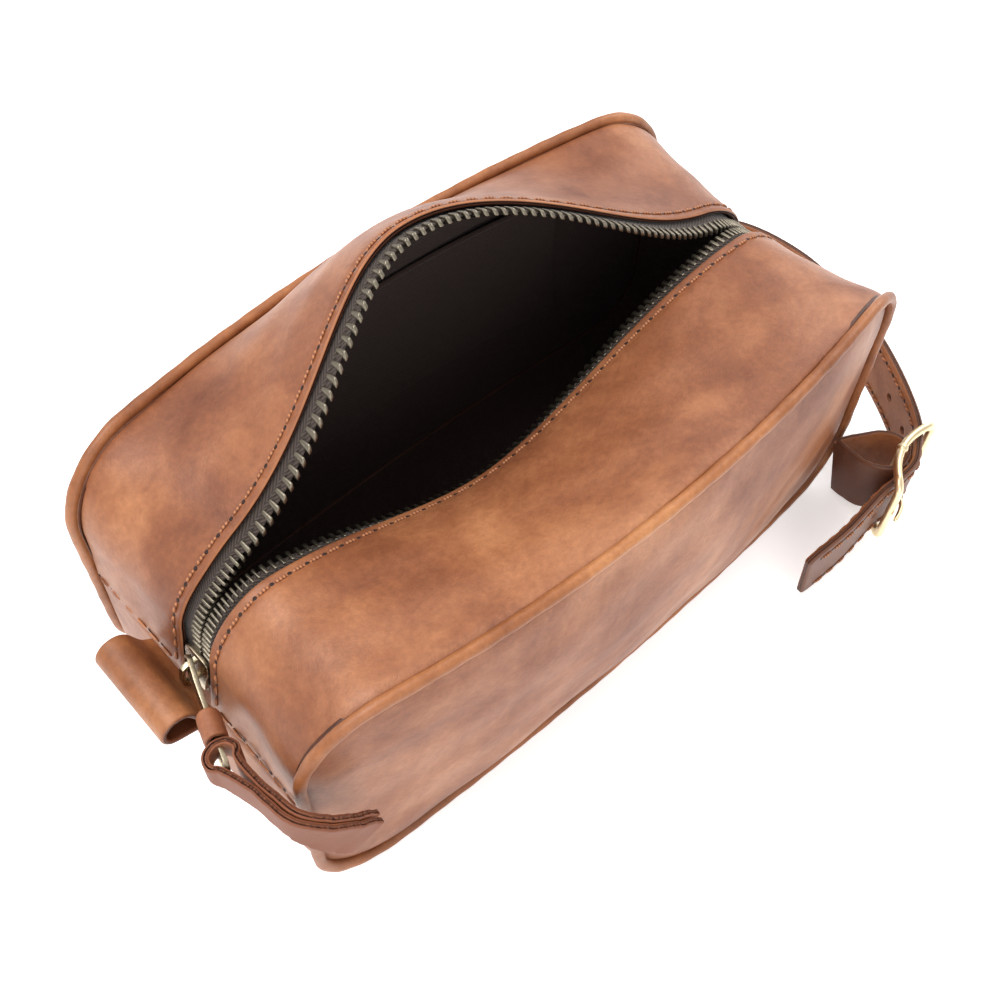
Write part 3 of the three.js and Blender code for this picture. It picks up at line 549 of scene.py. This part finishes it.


# a row of stitches: each a spindle whose ends dive into the leather, at even distances along a line, with a
# flat near-black disc of painted shade for the hole between each two
def stitchRow(name, line, normals, body, slotName="strap_leather"):
    length = runAlong(line)
    count = int(length[-1] / stitch["pitch"])
    at = (np.arange(count) + 0.5) * length[-1] / count
    n, m = stitch["cells"]
    made = []
    for kind in ("threads", "holes"):
        a = np.linspace(0, np.pi, n)
        b = np.linspace(0, 2 * np.pi, m, endpoint=False)
        if kind == "threads":
            along = -np.cos(a) * stitch["length"] / 2
            thick = stitch["radius"] * np.sqrt(np.clip(np.sin(a), 0, 1))
            lift = stitch["rise"] * np.sqrt(np.clip(np.sin(a), 0, 1)) - stitch["root"]
            flatness, spots = 0.8, at
        else:
            # hole discs: lying flat on the leather and coloured near black, as painted shade for the hole's
            # depth
            along = -np.cos(a) * stitch["hole"]
            thick = stitch["hole"] * np.sin(a)
            lift = np.full(n, 0.06)
            flatness, spots = 0.2, at + stitch["pitch"] / 2
        s = spots[:, None] + along[None, :]
        way = unit(sample(np.gradient(line, axis=0), length, s))
        normal = unit(sample(normals, length, s))
        sideways = np.cross(way, normal)
        ring = sideways[:, :, None] * np.cos(b)[None, None, :, None]
        ring = ring + flatness * normal[:, :, None] * np.sin(b)[None, None, :, None]
        raised = normal[:, :, None] * lift[None, :, None, None]
        points = sample(line, length, s)[:, :, None] + raised + ring * thick[None, :, None, None]
        quads = repeatQuads(ringQuads(n, m), len(spots), n * m)
        obj = makeMesh(name + "_" + kind, points, quads, seamThread if kind == "threads" else holeShade)
        made.append(obj)
        settle(obj, body, slotName)
    return made


# the front and back panels: a square grid laid over the rounded outline, swollen as a parabola from its rim.
# a point's share is the larger of its two grid places, and its spoke the matching place on the outline
def panelPoint(s, t, inset, depth, side):
    share = np.maximum(np.abs(s), np.abs(t))
    k = np.maximum(share, 1e-9)
    s1, t1 = s / k, t / k
    topHalf = flatRun + cornerRun / 2
    wall = wallRun + cornerRun
    onTop, onBase = t1 >= 1 - 1e-9, t1 <= -1 + 1e-9
    distance = np.where(onTop, s1 * topHalf,
                        np.where(onBase, np.sign(s1 + 1e-12) * halfLoop - s1 * topHalf,
                                 np.sign(s1) * (topHalf + wall * (1 - t1) / 2)))
    x0, z0, nx, nz = rim(distance)
    middle = (bag["top"] + bag["base"]) / 2
    x = (x0 - nx * inset) * share
    z = middle + (z0 - nz * inset - middle) * share
    out = rimHalf(x, z) + bag["belly"] * (1 - share ** 2) - depth
    return np.stack([x, side * out, z], -1)


wrinkle = {"amount": 0.35, "length": 46.0}


# slow waves of a hand-filled leather wall: two sine fields at different slants
def wave(a, b, seed):
    turn = 2 * np.pi / wrinkle["length"]
    first = np.sin((a * 0.9 + b * 0.5) * turn + seed)
    second = np.sin((a * 0.37 - b * 1.1) * turn * 1.7 + 2.1 * seed)
    return wrinkle["amount"] * (first + 0.6 * second)


def makePanels():
    edge = bag["pipe"] - 0.9
    for name, side in (("front", -1), ("back", 1)):
        for kind, inset, depth, thickness, count, material, slotName in (
                ("panel", edge, 0.0, bag["leather"], 90, bodyLeather, "body_leather"),
                ("lining", 3.2, 2.1, bag["lining"], 50, liningCloth, "lining")):
            # grid lines drawn a little closer together towards the rim
            even = np.linspace(-1, 1, count)
            line = 0.35 * np.sin(even * np.pi / 2) + 0.65 * even
            s, t = np.meshgrid(line, line, indexing="ij")
            border = 1 - np.maximum(np.abs(s), np.abs(t))
            tuck = crease["panel"] * np.exp(-border / crease["panelShare"]) * (kind == "panel")
            ripple = wave(s * 110, t * 48, side + 2.0) * np.clip(border * 6, 0, 1) * (kind == "panel")
            outer = panelPoint(s, t, inset, depth + tuck + ripple, side)
            inner = panelPoint(s, t, inset, depth + thickness + tuck + ripple * 0.5, side)
            points = np.concatenate([outer.reshape(-1, 3), inner.reshape(-1, 3)])
            uv = np.tile(outer[..., [0, 2]].reshape(-1, 2), (2, 1))
            tags = {"edge": np.full(len(points), 9.0), "flesh": np.repeat([0.0, 1.0], count ** 2)}
            obj = makeMesh(name + "_" + kind + "_skin", points, shellQuads(count, count), material, uv, tags)
            settle(obj, "bag", slotName, name + "_" + kind)
    print("panels made")


def makePiping():
    share = np.linspace(0, 1, 520, endpoint=False)
    for name, side in (("front", -1), ("back", 1)):
        x, z, nx, nz = rim(halfLoop * (2 * share - 1))
        line = np.stack([x, side * (rimHalf(x, z)), z], -1)
        turn = share * 2 * np.pi
        swell = bag["pipe"] * (1 + 0.035 * np.sin(turn * 61) + 0.03 * np.sin(turn * 23))
        obj = makeTube(name + "_piping_roll", line, swell, pipingLeather, 20, closed=True, up=(0, 1, 0))
        settle(obj, "bag", "piping_leather", name + "_piping", name + "_piping_cord")
    print("piping made")


seamDistance = wallDistance(bag["seamHeight"])
halves = (("left", -1), ("right", 1))


def blendLip(obj, name, half, slotName=None, *nodes):
    if slotName:
        settle(obj, None, slotName, *nodes)
    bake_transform(obj)


def makeTopPanels():
    for name, side in (("front", -1), ("back", 1)):
        layers = (
            ("top_panel", 0.0, bag["pipe"] - 0.2, 0.0, bag["leather"], bodyLeather, "body_leather", 34),
            ("top_lining", 2.0, 3.4, 4.1, bag["lining"], liningCloth, "lining", 20))
        for kind, fromLip, toEdge, depth, thickness, material, slotName, across in layers:
            isLeather = kind == "top_panel"
            low = lambda s: np.full_like(s, mouth["lip"] + fromLip)
            high = lambda s: rimHalf(*rim(s)[:2]) - toEdge

            def place(u, v, d):
                relief = 0.0
                if isLeather:
                    # waves, then the groove that the stitches are drawn into, then the tuck by the piping
                    relief = wave(u, v * 1.2, side * 1.3) * 0.9 * np.clip((v - 10) / 14, 0, 1)
                    fromSeam = (v - mouth["lip"] - lipSeam["inset"]) / lipSeam["width"]
                    relief = relief + lipSeam["groove"] * np.exp(-fromSeam ** 2)
                    fromEdge = np.clip(high(u) - v, 0, None)
                    relief = relief + crease["top"] * np.exp(-fromEdge / crease["width"])
                return topPoint(u, side * v, depth + d + relief, side)

            for half, sign in halves:
                along = sorted((sign * seamDistance, mouth["centre"])) + [150]
                obj = makeSheet(name + "_" + kind + "_" + half, place, along, low, high, across, thickness,
                                material, ends=(sign < 0, sign > 0), edgeRadius=0.42, shared=isLeather)
                blendLip(obj, name, sign, slotName, kind + "_" + name)
        for half, sign in halves:
            s = np.linspace(*sorted((sign * (seamDistance - 2.5), mouth["centre"])), 400)
            v = np.full_like(s, side * (mouth["lip"] + lipSeam["inset"]))
            line = topPoint(s, v, np.full_like(s, lipSeam["groove"]), side)
            normal = topPoint(s, v, np.full_like(s, lipSeam["groove"] - 1), side) - line
            for obj in stitchRow(name + "_lip_" + half, line, normal, None, "body_leather"):
                blendLip(obj, name, sign)
    print("top panels made")


def makeBase():
    start, run = seamDistance - 6.0, 2 * (halfLoop - seamDistance) + 12.0
    wrap = lambda u: np.where(u > halfLoop, u - 2 * halfLoop, u)
    limit = lambda s: rimHalf(*rim(wrap(s))[:2]) - bag["pipe"] + 0.7

    # the base laps under the top panels for its first and last few millimetres
    def place(u, v, d):
        under = 2.0 * (1 - smooth(np.minimum(u - start, start + run - u), 5.0, 6.6))
        ripple = wave(u, v, 4.4) * 0.5 * np.clip((limit(u) - np.abs(v)) / 14, 0, 1)
        x, z, nx, nz = rim(wrap(u))
        ripple = ripple * np.where(nz < -0.5, 0, 1)
        fromEdge = np.clip(limit(u) - np.abs(v), 0, None)
        tuck = crease["base"] * np.exp(-fromEdge / crease["width"]) * np.where(nz < -0.3, 0, 1)
        return stripPoint(wrap(u), v, d + under + ripple + tuck)

    obj = makeSheet("base_wrap", place, (start, start + run, 260), lambda s: -limit(s), limit, 44,
                    bag["leather"], bodyLeather, edgeRadius=0.42)
    settle(obj, "bag", "body_leather", "base_gusset")
    inner = lambda u, v, d: stripPoint(wrap(u), v, 2.6 + d)
    inLimit = lambda s: limit(s) - 1.6
    obj = makeSheet("base_lining_wrap", inner, (start + 6, start + run - 6, 120), lambda s: -inLimit(s),
                    inLimit, 24, bag["lining"], liningCloth)
    settle(obj, "bag", "lining", "base_lining")
    # the lapped seam at each end wall: one row of stitches through the top panels' lower edge
    for name, side in (("front", -1), ("back", 1)):
        for half, sign in halves:
            y = side * np.linspace(mouth["lip"] + 4, bag["halfEnd"] - 4, 80)
            d = np.full_like(y, sign * (seamDistance - 2.6))
            line = stripPoint(d, y, 0.0)
            normal = stripPoint(d, y, -1.0) - line
            stitchRow("seam_" + name + "_" + half, line, normal, "bag", "body_leather")
    print("base made")


pocket = {"width": 150.0, "top": 84.0, "bottom": 30.0, "depth": 4.0}


def makePocket():
    share = lambda x, z: np.clip(np.hypot(x / 112.0, (z - 53) / 47.0), 0, 1)

    def place(u, v, d):
        sag = 0.5 * np.sin(np.pi * (v - pocket["bottom"]) / (pocket["top"] - pocket["bottom"]))
        out = rimHalf(u, v) + bag["belly"] * (1 - share(u, v) ** 2) - pocket["depth"] - d - sag
        return np.stack([u, out, v], -1)

    half = pocket["width"] / 2
    obj = makeSheet("slip_pocket", place, (-half, half, 60), constant(pocket["bottom"]),
                    constant(pocket["top"]), 24, bag["lining"], liningCloth)
    settle(obj, "bag", "lining", "inner_pocket")
    # the turned hem along the pocket's mouth
    x = np.linspace(-half, half, 80)
    line = place(x, np.full_like(x, pocket["top"] - 0.4), np.full_like(x, 0.2))
    settle(makeTube("pocket_hem", line, 0.8, liningCloth, 10), "bag", "lining")
    print("pocket made")


zipper = {"pitch": 2.7, "chainOuter": 4.4, "reach": 0.35, "thickness": 2.4, "tapeInner": 1.9,
          "tapeOuter": 16.0, "tape": 0.7, "bead": 4.2, "beadRadius": 0.75}
chainFrom, chainTo = -wallDistance(60.0), wallDistance(80.0)
chainDepth = bag["leather"] + bag["layerGap"] + zipper["tape"] / 2


def makeZip():
    # one tooth: a squarish spindle, narrow at its root and swelling to a head at its tip
    a = np.linspace(0, np.pi, 9)
    b = np.linspace(0, 2 * np.pi, 12, endpoint=False)
    middle = (zipper["chainOuter"] + zipper["reach"]) / 2
    halfSpan = (zipper["chainOuter"] - zipper["reach"]) / 2
    across = middle + halfSpan * squared(np.cos(a), 0.4)[:, None] + 0 * b[None]
    belt = np.clip(np.sin(a), 0, 1)[:, None] ** 0.25
    head = 0.62 + 0.16 * np.cos(a)[:, None] * -1
    along = belt * head * squared(np.cos(b), 0.5)[None]
    through = belt * (zipper["thickness"] / 2) * squared(np.sin(b), 0.5)[None]
    for name, side in (("front", -1), ("back", 1)):
        shift = zipper["pitch"] / 2 if side > 0 else 0
        places = np.arange(chainFrom + shift + 1.3, chainTo, zipper["pitch"])
        depth = bag["leather"] + bag["layerGap"]
        tapePlace = lambda u, v, d, side=side: topPoint(u, side * v, depth + d, side)
        for half, sign in halves:
            mine = places[(places < mouth["centre"]) == (sign < 0)]
            d = mine[:, None, None] + along[None]
            points = topPoint(d, side * across[None] + 0 * d, chainDepth + through[None] + 0 * d, side)
            quads = repeatQuads(ringQuads(*across.shape), len(mine), across.size)
            obj = makeMesh(name + "_teeth_" + half, points, quads, antiqueBrass)
            blendLip(obj, name, sign, "zip_teeth", "zip_chain_" + name)
            low, high = sorted((chainFrom - 2.6 if sign < 0 else chainTo + 6, mouth["centre"]))
            obj = makeSheet(name + "_tape_" + half, tapePlace, (low, high, 120),
                            constant(zipper["tapeInner"]), constant(zipper["tapeOuter"]), 12,
                            zipper["tape"], tapeCloth, ends=(sign < 0, sign > 0))
            blendLip(obj, name, sign, "zip_tape", "zip_tape_" + name)
            # the beaded edge of the tape that the teeth are pressed on
            s = np.linspace(low + (sign < 0), high - (sign > 0), 160)
            bead = topPoint(s, side * np.full_like(s, zipper["bead"]), chainDepth + 0 * s, side)
            obj = makeTube(name + "_tape_bead_" + half, bead, zipper["beadRadius"], tapeCloth, 8)
            blendLip(obj, name, sign, "zip_tape")
    print("zip made")


# a copy of a CAD node's shape with its sharp edges rounded
def roundedCopy(name, node, material, bevelMm, angle=32):
    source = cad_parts[node]
    mesh = source.data.copy()
    work = bmesh.new()
    work.from_mesh(mesh)
    bmesh.ops.remove_doubles(work, verts=work.verts, dist=0.00002)
    bmesh.ops.dissolve_limit(work, angle_limit=np.radians(4), verts=work.verts, edges=work.edges)
    bmesh.ops.recalc_face_normals(work, faces=work.faces)
    for face in work.faces:
        face.smooth = True
    work.to_mesh(mesh)
    work.free()
    mesh.materials.clear()
    mesh.materials.append(material)
    obj = link(bpy.data.objects.new(name, mesh))
    bevel = obj.modifiers.new("round", "BEVEL")
    bevel.width = bevelMm * mm
    bevel.segments = 3
    bevel.limit_method = "ANGLE"
    bevel.angle_limit = np.radians(angle)
    bevel.harden_normals = True
    return obj


pullRoot = np.array([-116.284, 0.0, 71.637])
pullWay = np.array([-0.3101551, -0.9504754, 0.0200100])
pullEnd = pullRoot + 31 * pullWay


def makeHardware():
    settle(roundedCopy("slider_body", "zip_slider", darkBrass, 0.3), "slider", "slider_metal", "zip_slider")
    settle(roundedCopy("pull_bar", "zip_pull", darkBrass, 0.3), "pull", "slider_metal", "zip_pull")
    for node in ("zip_bottom_stop", "zip_top_stop_front", "zip_top_stop_back"):
        settle(roundedCopy(node + "_clamp", node, antiqueBrass, 0.3), "bag", "zip_teeth", node)
    print("hardware made")


thong = {"width": 12.0, "thickness": 2.1, "ring": 4.3}


def makeThong():
    up = np.array([0, 0, 1.0])
    half = (thong["thickness"] + 0.3) / 2
    corner = np.array([-123.1, -57.7, 79.5])
    shared = [pullEnd + [0.6, -8.5, 0.8], pullEnd + (corner - pullEnd) * 0.6 + [-0.4, 0, 0], corner,
              [-116.7, -62.9, 72.5], [-108.7, -64.5, 61.5]]
    middle = curveThrough(shared, 0.25)[0]
    share = np.array([0.14, 0.3, 0.45, 0.6, 0.8, 1.0])
    spot = (share * (len(middle) - 1)).astype(int)
    way = np.gradient(middle, axis=0)[spot]
    across = unit(np.cross(way, up))
    angle = np.radians([-140, -95, -48, 0, 48, 95, 140])
    bend = pullEnd + np.stack([np.sin(angle), np.cos(angle), 0 * angle], -1) * thong["ring"]
    knots = np.concatenate([(middle[spot] + across * half)[::-1], bend, middle[spot] - across * half])
    line, total = curveThrough(knots, 0.3)
    flat = ribbonPlace(line, total, thong["width"], thong["thickness"])

    # the strip's edges are cut by hand, and it narrows where it passes through the pull
    def place(u, v, d):
        tight = 1 - 0.42 * np.exp(-((u - total / 2) / 7.5) ** 2)
        rough = 1 + 0.02 * np.sin(u * 1.9) + 0.015 * np.sin(u * 4.7 + 1)
        return flat(u, v * tight * rough, d)

    width = thong["width"] / 2
    obj = makeSheet("thong_strip", place, (0, total, 220), constant(-width), constant(width), 12,
                    thong["thickness"], thongLeather, edgeRadius=0.28)
    settle(obj, "thong", "strap_leather", "thong")
    print("thong made")


# width and depth are half sizes of the oval middle line
sleeve = {"width": 4.4, "depth": 2.5, "wall": 1.76, "length": 8.2}


def makeCollar():
    # a sleeve: an oval band whose wall section is a rounded rectangle carried round the pull
    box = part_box("thong_collar")
    low, high = np.array(box[0]) / mm, np.array(box[1]) / mm
    centre = (low + high) / 2
    way = pullWay
    face = np.array([-1.0, 0, 0]) - way * (way @ np.array([-1.0, 0, 0]))
    face /= np.linalg.norm(face)
    side = np.cross(face, way)
    a = np.linspace(0, 2 * np.pi, 56, endpoint=False)
    b = np.linspace(0, 2 * np.pi, 20, endpoint=False)
    wall = sleeve["wall"] / 2 * squared(np.cos(b), 0.35)
    reach = sleeve["length"] / 2 * squared(np.sin(b), 0.35)
    out = np.stack([np.cos(a) * sleeve["depth"], np.sin(a) * sleeve["width"]], -1)
    normal = unit(np.stack([np.cos(a) * sleeve["width"], np.sin(a) * sleeve["depth"]], -1))
    ring = out[:, None] + normal[:, None] * wall[None, :, None]
    points = centre + ring[..., :1] * face + ring[..., 1:] * side + reach[None, :, None] * way
    n, m = len(a), len(b)
    cutEnd = np.tile(np.abs(reach) / (sleeve["length"] / 2), n)
    tags = {"edge": np.full(n * m, 9.0), "flesh": np.where(cutEnd > 0.985, 0.5, 0.0)}
    obj = makeMesh("pull_sleeve", points, ringQuads(n, m, True), thongLeather, None, tags)
    settle(obj, "pull", "strap_leather", "thong_collar")
    print("sleeve made")


tab = {"width": 32.0, "shift": 3.0, "reach": 19.0, "height": 11.4, "rise": 42.0}


def makeTab():
    # the centre line of the rolled strip: out along the top, round a circle and back along the bottom
    outer = tab["height"] / 2
    nose = outer - tab["reach"]
    r = outer - bag["leather"] / 2
    turn = np.radians(np.linspace(62, 298, 9))
    arc = np.stack([nose + r * np.cos(turn), r * np.sin(turn)], -1)
    top = [[0, 1.1], [nose * 0.3, 1.2], [nose * 0.55, 2.4]]
    profile = np.concatenate([top, arc, np.array(top[::-1]) * [1, -1]])
    angle = np.radians(tab["rise"])
    root = stripPoint(np.array(-seamDistance + 3), np.array(0.0), np.array(0.0))
    root = root - [bag["leather"] + 0.6, 0, 0]
    # the profile is turned about Y by the rise
    x = root[0] + profile[:, 0] * np.cos(angle) + profile[:, 1] * np.sin(angle)
    z = root[2] - profile[:, 0] * np.sin(angle) + profile[:, 1] * np.cos(angle)
    line, total = curveThrough(np.stack([x, np.full_like(x, tab["shift"]), z], -1), 0.3)
    rolled = ribbonPlace(line, total, tab["width"], bag["leather"], up=(0, 1, 0))
    place = lambda u, v, d: rolled(u, v, bag["leather"] - d)
    half = tab["width"] / 2
    obj = makeSheet("rolled_tab", place, (0, total, 120), constant(-half), constant(half), 30,
                    bag["leather"], tabLeather, edgeRadius=0.4)
    settle(obj, "bag", "strap_leather", "end_tab")
    print("tab made")


strap = {"width": 24.0, "thickness": 2.8, "chape": 1.8, "barReach": 16.0, "dish": 5.5, "wire": 1.6,
         "bar": 1.5, "holePitch": 14.0, "hole": 1.6}
barMiddle = np.array([115.5, -75.2, 20.5])
strapWay = np.array([-0.958, -0.287, 0]) / np.hypot(0.958, 0.287)
strapOut = np.array([0.287, -0.958, 0]) / np.hypot(0.958, 0.287)
barHalf = strap["width"] / 2 + 3


def buckleAt(along, out, up):
    return barMiddle + strapWay * along + strapOut * out + np.array([0, 0, 1.0]) * up


def cutHoles(obj, spots, normals, radius):
    for spot, normal in zip(spots, normals):
        cutter = makeTube("cutter", [spot - normal * 5, spot, spot + normal * 5], radius, holeShade, 20)
        boolean = obj.modifiers.new("hole", "BOOLEAN")
        boolean.operation = "DIFFERENCE"
        boolean.solver = "EXACT"
        boolean.object = cutter
        bpy.context.view_layer.objects.active = obj
        bpy.ops.object.modifier_apply(modifier=boolean.name)
        bpy.data.objects.remove(cutter)


def makeStraps():
    reach, dish, gap = strap["barReach"], strap["dish"], 0.3
    over = strap["wire"] + 5 * gap + strap["thickness"] / 2
    hump = strap["bar"] + strap["chape"] + 2 * gap + strap["thickness"] / 2 + 0.3
    far, wide = bag["halfLength"], bag["halfEnd"]
    slope = (dish - over + hump) / 2 + 0.6
    knots = [[far + 2.6, wide - 3, 22], [far + 20, wide - 2, 22], [far + 37, wide - 15, 23],
             [far + 43, 8, 24], [far + 36, -28, 24.5], [far + 26, -wide, 23.5],
             buckleAt(-reach, dish - over, 0.3),
             buckleAt(-reach / 2, slope, 0), buckleAt(0, hump, 0), buckleAt(reach / 2, slope, 0),
             buckleAt(reach, dish - over, -0.3), [far - 36, -wide - 30, 17],
             [far - 54, -wide - 29, 15]]
    line, total = curveThrough(knots, 0.5)
    base = ribbonPlace(line, total, strap["width"], strap["thickness"])
    half = strap["width"] / 2

    # the free end is cut to a blunt curve: the strap narrows slightly over its last 9 mm
    def halfAt(s):
        tip = np.clip((s - (total - 9)) / 9, 0, 1)
        return half * (0.86 + 0.14 * np.sqrt(1 - tip ** 3))

    obj = makeSheet("handle_strap", base, (0, total, 320), lambda s: -halfAt(s), halfAt, 20,
                    strap["thickness"], strapLeather, edgeRadius=0.35)
    way = unit(np.gradient(line, axis=0))
    across = unit(np.cross(way, [0, 0, 1.0]))
    pin = np.argmin(np.linalg.norm(line - buckleAt(6, 4.5, 0), axis=1))
    step = total / (len(line) - 1)
    at = [int(pin - (k - 1) * strap["holePitch"] / step) for k in range(5)]
    cutHoles(obj, line[at], across[at], strap["hole"])
    settle(obj, None, "strap_leather", "strap_long")
    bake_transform(obj)
    for edge, up in (("upper", 1), ("lower", -1)):
        v = np.full(len(line), up * (half - 3.0))
        u = np.linspace(0, total, len(line))
        keep = (u > 4) & (u < total - 5)
        for face, depth, sign in (("grain", 0.05, 1), ("flesh", strap["thickness"] - 0.05, -1)):
            row = base(u, v, np.full_like(u, depth))[keep]
            normal = sign * np.cross(way, [0, 0, 1.0])[keep]
            for piece in stitchRow("strap_" + edge + "_" + face, row, normal, None):
                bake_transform(piece)
    # the chape's loop is the same on both sides of the bar
    sideOf = [(1.2, -19.3, -6), (4.6, -14, -4), (7.6, -7, -1.5), (6.9, -1.2, 0), (3.4, 2.2, 0)]
    loop = [buckleAt(-along, out, up) for along, out, up in sideOf]
    loop += [buckleAt(0, strap["bar"] + gap + strap["chape"] / 2, 0)]
    loop += [buckleAt(*spot) for spot in sideOf[::-1]]
    chapeLine, length = curveThrough(loop, 0.4)
    chapeBase = ribbonPlace(chapeLine, length, strap["width"] - 1, strap["chape"])
    chapeHalf = (strap["width"] - 1) / 2
    obj = makeSheet("handle_chape", chapeBase, (0, length, 150), constant(-chapeHalf),
                    constant(chapeHalf), 18, strap["chape"], strapLeather, edgeRadius=0.35)
    settle(obj, None, "strap_leather", "strap_chape")
    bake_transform(obj)
    print("straps made")


def makeBuckle():
    # a rounded rectangle of wire whose ends stand in front of its bar as a parabola
    reach, corner = strap["barReach"], 3.5
    turn = np.radians(np.linspace(0, 90, 9))
    quarter = np.stack([np.cos(turn), np.sin(turn)], -1) * corner
    corners = []
    for k, (sx, sz) in enumerate(((1, -1), (1, 1), (-1, 1), (-1, -1))):
        a = np.radians(-90 + 90 * k)
        turned = np.stack([quarter[:, 0] * np.cos(a) - quarter[:, 1] * np.sin(a),
                           quarter[:, 0] * np.sin(a) + quarter[:, 1] * np.cos(a)], -1)
        corners.append(turned + [sx * (reach - corner), sz * (barHalf - corner)])
    outline = np.concatenate(corners)
    outline = np.concatenate([outline, outline[:1]])
    length = runAlong(outline)
    flat = sample(outline, length, np.linspace(0, length[-1], 180, endpoint=False))
    rise = strap["dish"] * (flat[:, 0] / reach) ** 2
    line = buckleAt(flat[:, :1], rise[:, None], flat[:, 1:])
    # cast wire, a little flatter than round
    obj = makeTube("buckle_ring", line, strap["wire"], paleBrass, 20, closed=True, flat=0.9, up=strapOut)
    settle(obj, "handle", "buckle_metal", "buckle_frame")
    bar = np.array([buckleAt(0, 0, z) for z in np.linspace(-barHalf, barHalf, 24)])
    settle(makeTube("buckle_bar", bar, strap["bar"], paleBrass, 16, up=strapOut), "handle", "buckle_metal")
    for name, z in (("upper", 1), ("lower", -1)):
        ends = np.array([buckleAt(0, 0, z * (barHalf + t)) for t in np.linspace(-0.6, 2.0, 8)])
        size = 1.9 * np.sqrt(np.clip(1 - (np.linspace(-0.2, 1, 8)) ** 4, 0.02, 1))
        settle(makeTube("bar_end_" + name, ends, size, paleBrass, 16, up=strapOut), "handle", "buckle_metal")
    turn = np.linspace(0, 2 * np.pi, 40, endpoint=False)
    eye = np.array([buckleAt(2.7 * np.cos(a), 2.7 * np.sin(a), 0) for a in turn])
    obj = makeTube("prong_eye", eye, 0.75, paleBrass, 12, closed=True)
    settle(obj, "prong", "buckle_metal", "buckle_prong")
    pinKnots = [buckleAt(2.6, 1.2, 0), buckleAt(4.6, 3.2, 0), buckleAt(7, 5.6, 0), buckleAt(10, 7.9, 0),
                buckleAt(14, 8.6, 0), buckleAt(18, 8.5, 0)]
    pinLine, total = curveThrough(pinKnots, 0.35)
    taper = 0.95 - 0.2 * np.linspace(0, 1, len(pinLine))
    taper[-2:] *= (0.8, 0.4)
    settle(makeTube("prong_pin", pinLine, taper, paleBrass, 12), "prong", "buckle_metal")
    print("buckle made")


makePanels()
makePiping()
makeTopPanels()
makeBase()
makePocket()
makeZip()
makeHardware()
makeThong()
makeCollar()
makeTab()
makeStraps()
makeBuckle()

studio = {"floor": "#ffffff", "key": 9.0, "fill": 4.0, "rim": 4.0, "world": 0.75}


def makeStudio():
    floorMaterial, tree = startMaterial("white seamless paper")
    rays = addNode(tree, "ShaderNodeLightPath")
    seen = maths(tree, "MAXIMUM", rays.outputs["Is Camera Ray"], rays.outputs["Is Glossy Ray"])
    paper = addNode(tree, "ShaderNodeBsdfDiffuse", {"Color": linear(studio["floor"])})
    glow = addNode(tree, "ShaderNodeEmission", {"Color": (1, 1, 1, 1), "Strength": 0.45})
    both = addNode(tree, "ShaderNodeAddShader", {0: paper.outputs[0], 1: glow.outputs[0]})
    mixed = addNode(tree, "ShaderNodeMixShader", {0: seen, 1: paper.outputs[0], 2: both.outputs[0]})
    addNode(tree, "ShaderNodeOutputMaterial", {0: mixed.outputs[0]})
    mesh = bpy.data.meshes.new("floor")
    size = 6.0
    corners = [(-size, -size, 0), (size, -size, 0), (size, size, 0), (-size, size, 0)]
    mesh.from_pydata(corners, [], [(0, 1, 2, 3)])
    mesh.materials.append(floorMaterial)
    link(bpy.data.objects.new("floor", mesh))

    world = bpy.data.worlds.new("studio")
    world.use_nodes = True
    world.node_tree.nodes["Background"].inputs[0].default_value = (1, 1, 1, 1)
    world.node_tree.nodes["Background"].inputs[1].default_value = studio["world"]
    bpy.context.scene.world = world

    def lamp(name, place, aim, width, power):
        light = bpy.data.lights.new(name, "AREA")
        light.shape = "SQUARE"
        light.size = width
        light.energy = power
        obj = link(bpy.data.objects.new(name, light))
        obj.location = place
        way = np.array(aim, float) - np.array(place, float)
        obj.rotation_euler = Vector(way).to_track_quat("-Z", "Y").to_euler()

    lamp("key", (-0.35, 0.25, 1.0), (0, 0, 0.05), 0.7, studio["key"])
    lamp("fill", (-0.5, -0.9, 0.55), (0, 0, 0.05), 0.8, studio["fill"])
    lamp("rim", (0.8, 0.1, 0.6), (0, 0, 0.05), 0.6, studio["rim"])


view = {"azimuth": 44.45, "elevation": 56.23, "roll": 2.27, "focal": 1274.9,
        "place": (-0.16396, -0.16562, 0.38350)}


def makeCamera():
    az, el, roll = (np.radians(view[k]) for k in ("azimuth", "elevation", "roll"))
    forward = np.array([np.sin(az) * np.cos(el), np.cos(az) * np.cos(el), -np.sin(el)])
    right = np.array([np.cos(az), -np.sin(az), 0])
    upward = np.cross(right, forward)
    right2 = right * np.cos(roll) + upward * np.sin(roll)
    upward2 = -right * np.sin(roll) + upward * np.cos(roll)
    data = bpy.data.cameras.new("camera")
    data.sensor_width = 36.0
    data.lens = view["focal"] * 36.0 / 1000
    data.clip_start = 0.01
    camera = link(bpy.data.objects.new("camera", data))
    stance = Matrix(np.stack([right2, upward2, -forward], 1).tolist()).to_4x4()
    stance.translation = view["place"]
    camera.matrix_world = stance
    bpy.context.scene.camera = camera


makeStudio()
makeCamera()
bpy.context.scene.view_settings.view_transform = "Standard"
print("studio made")
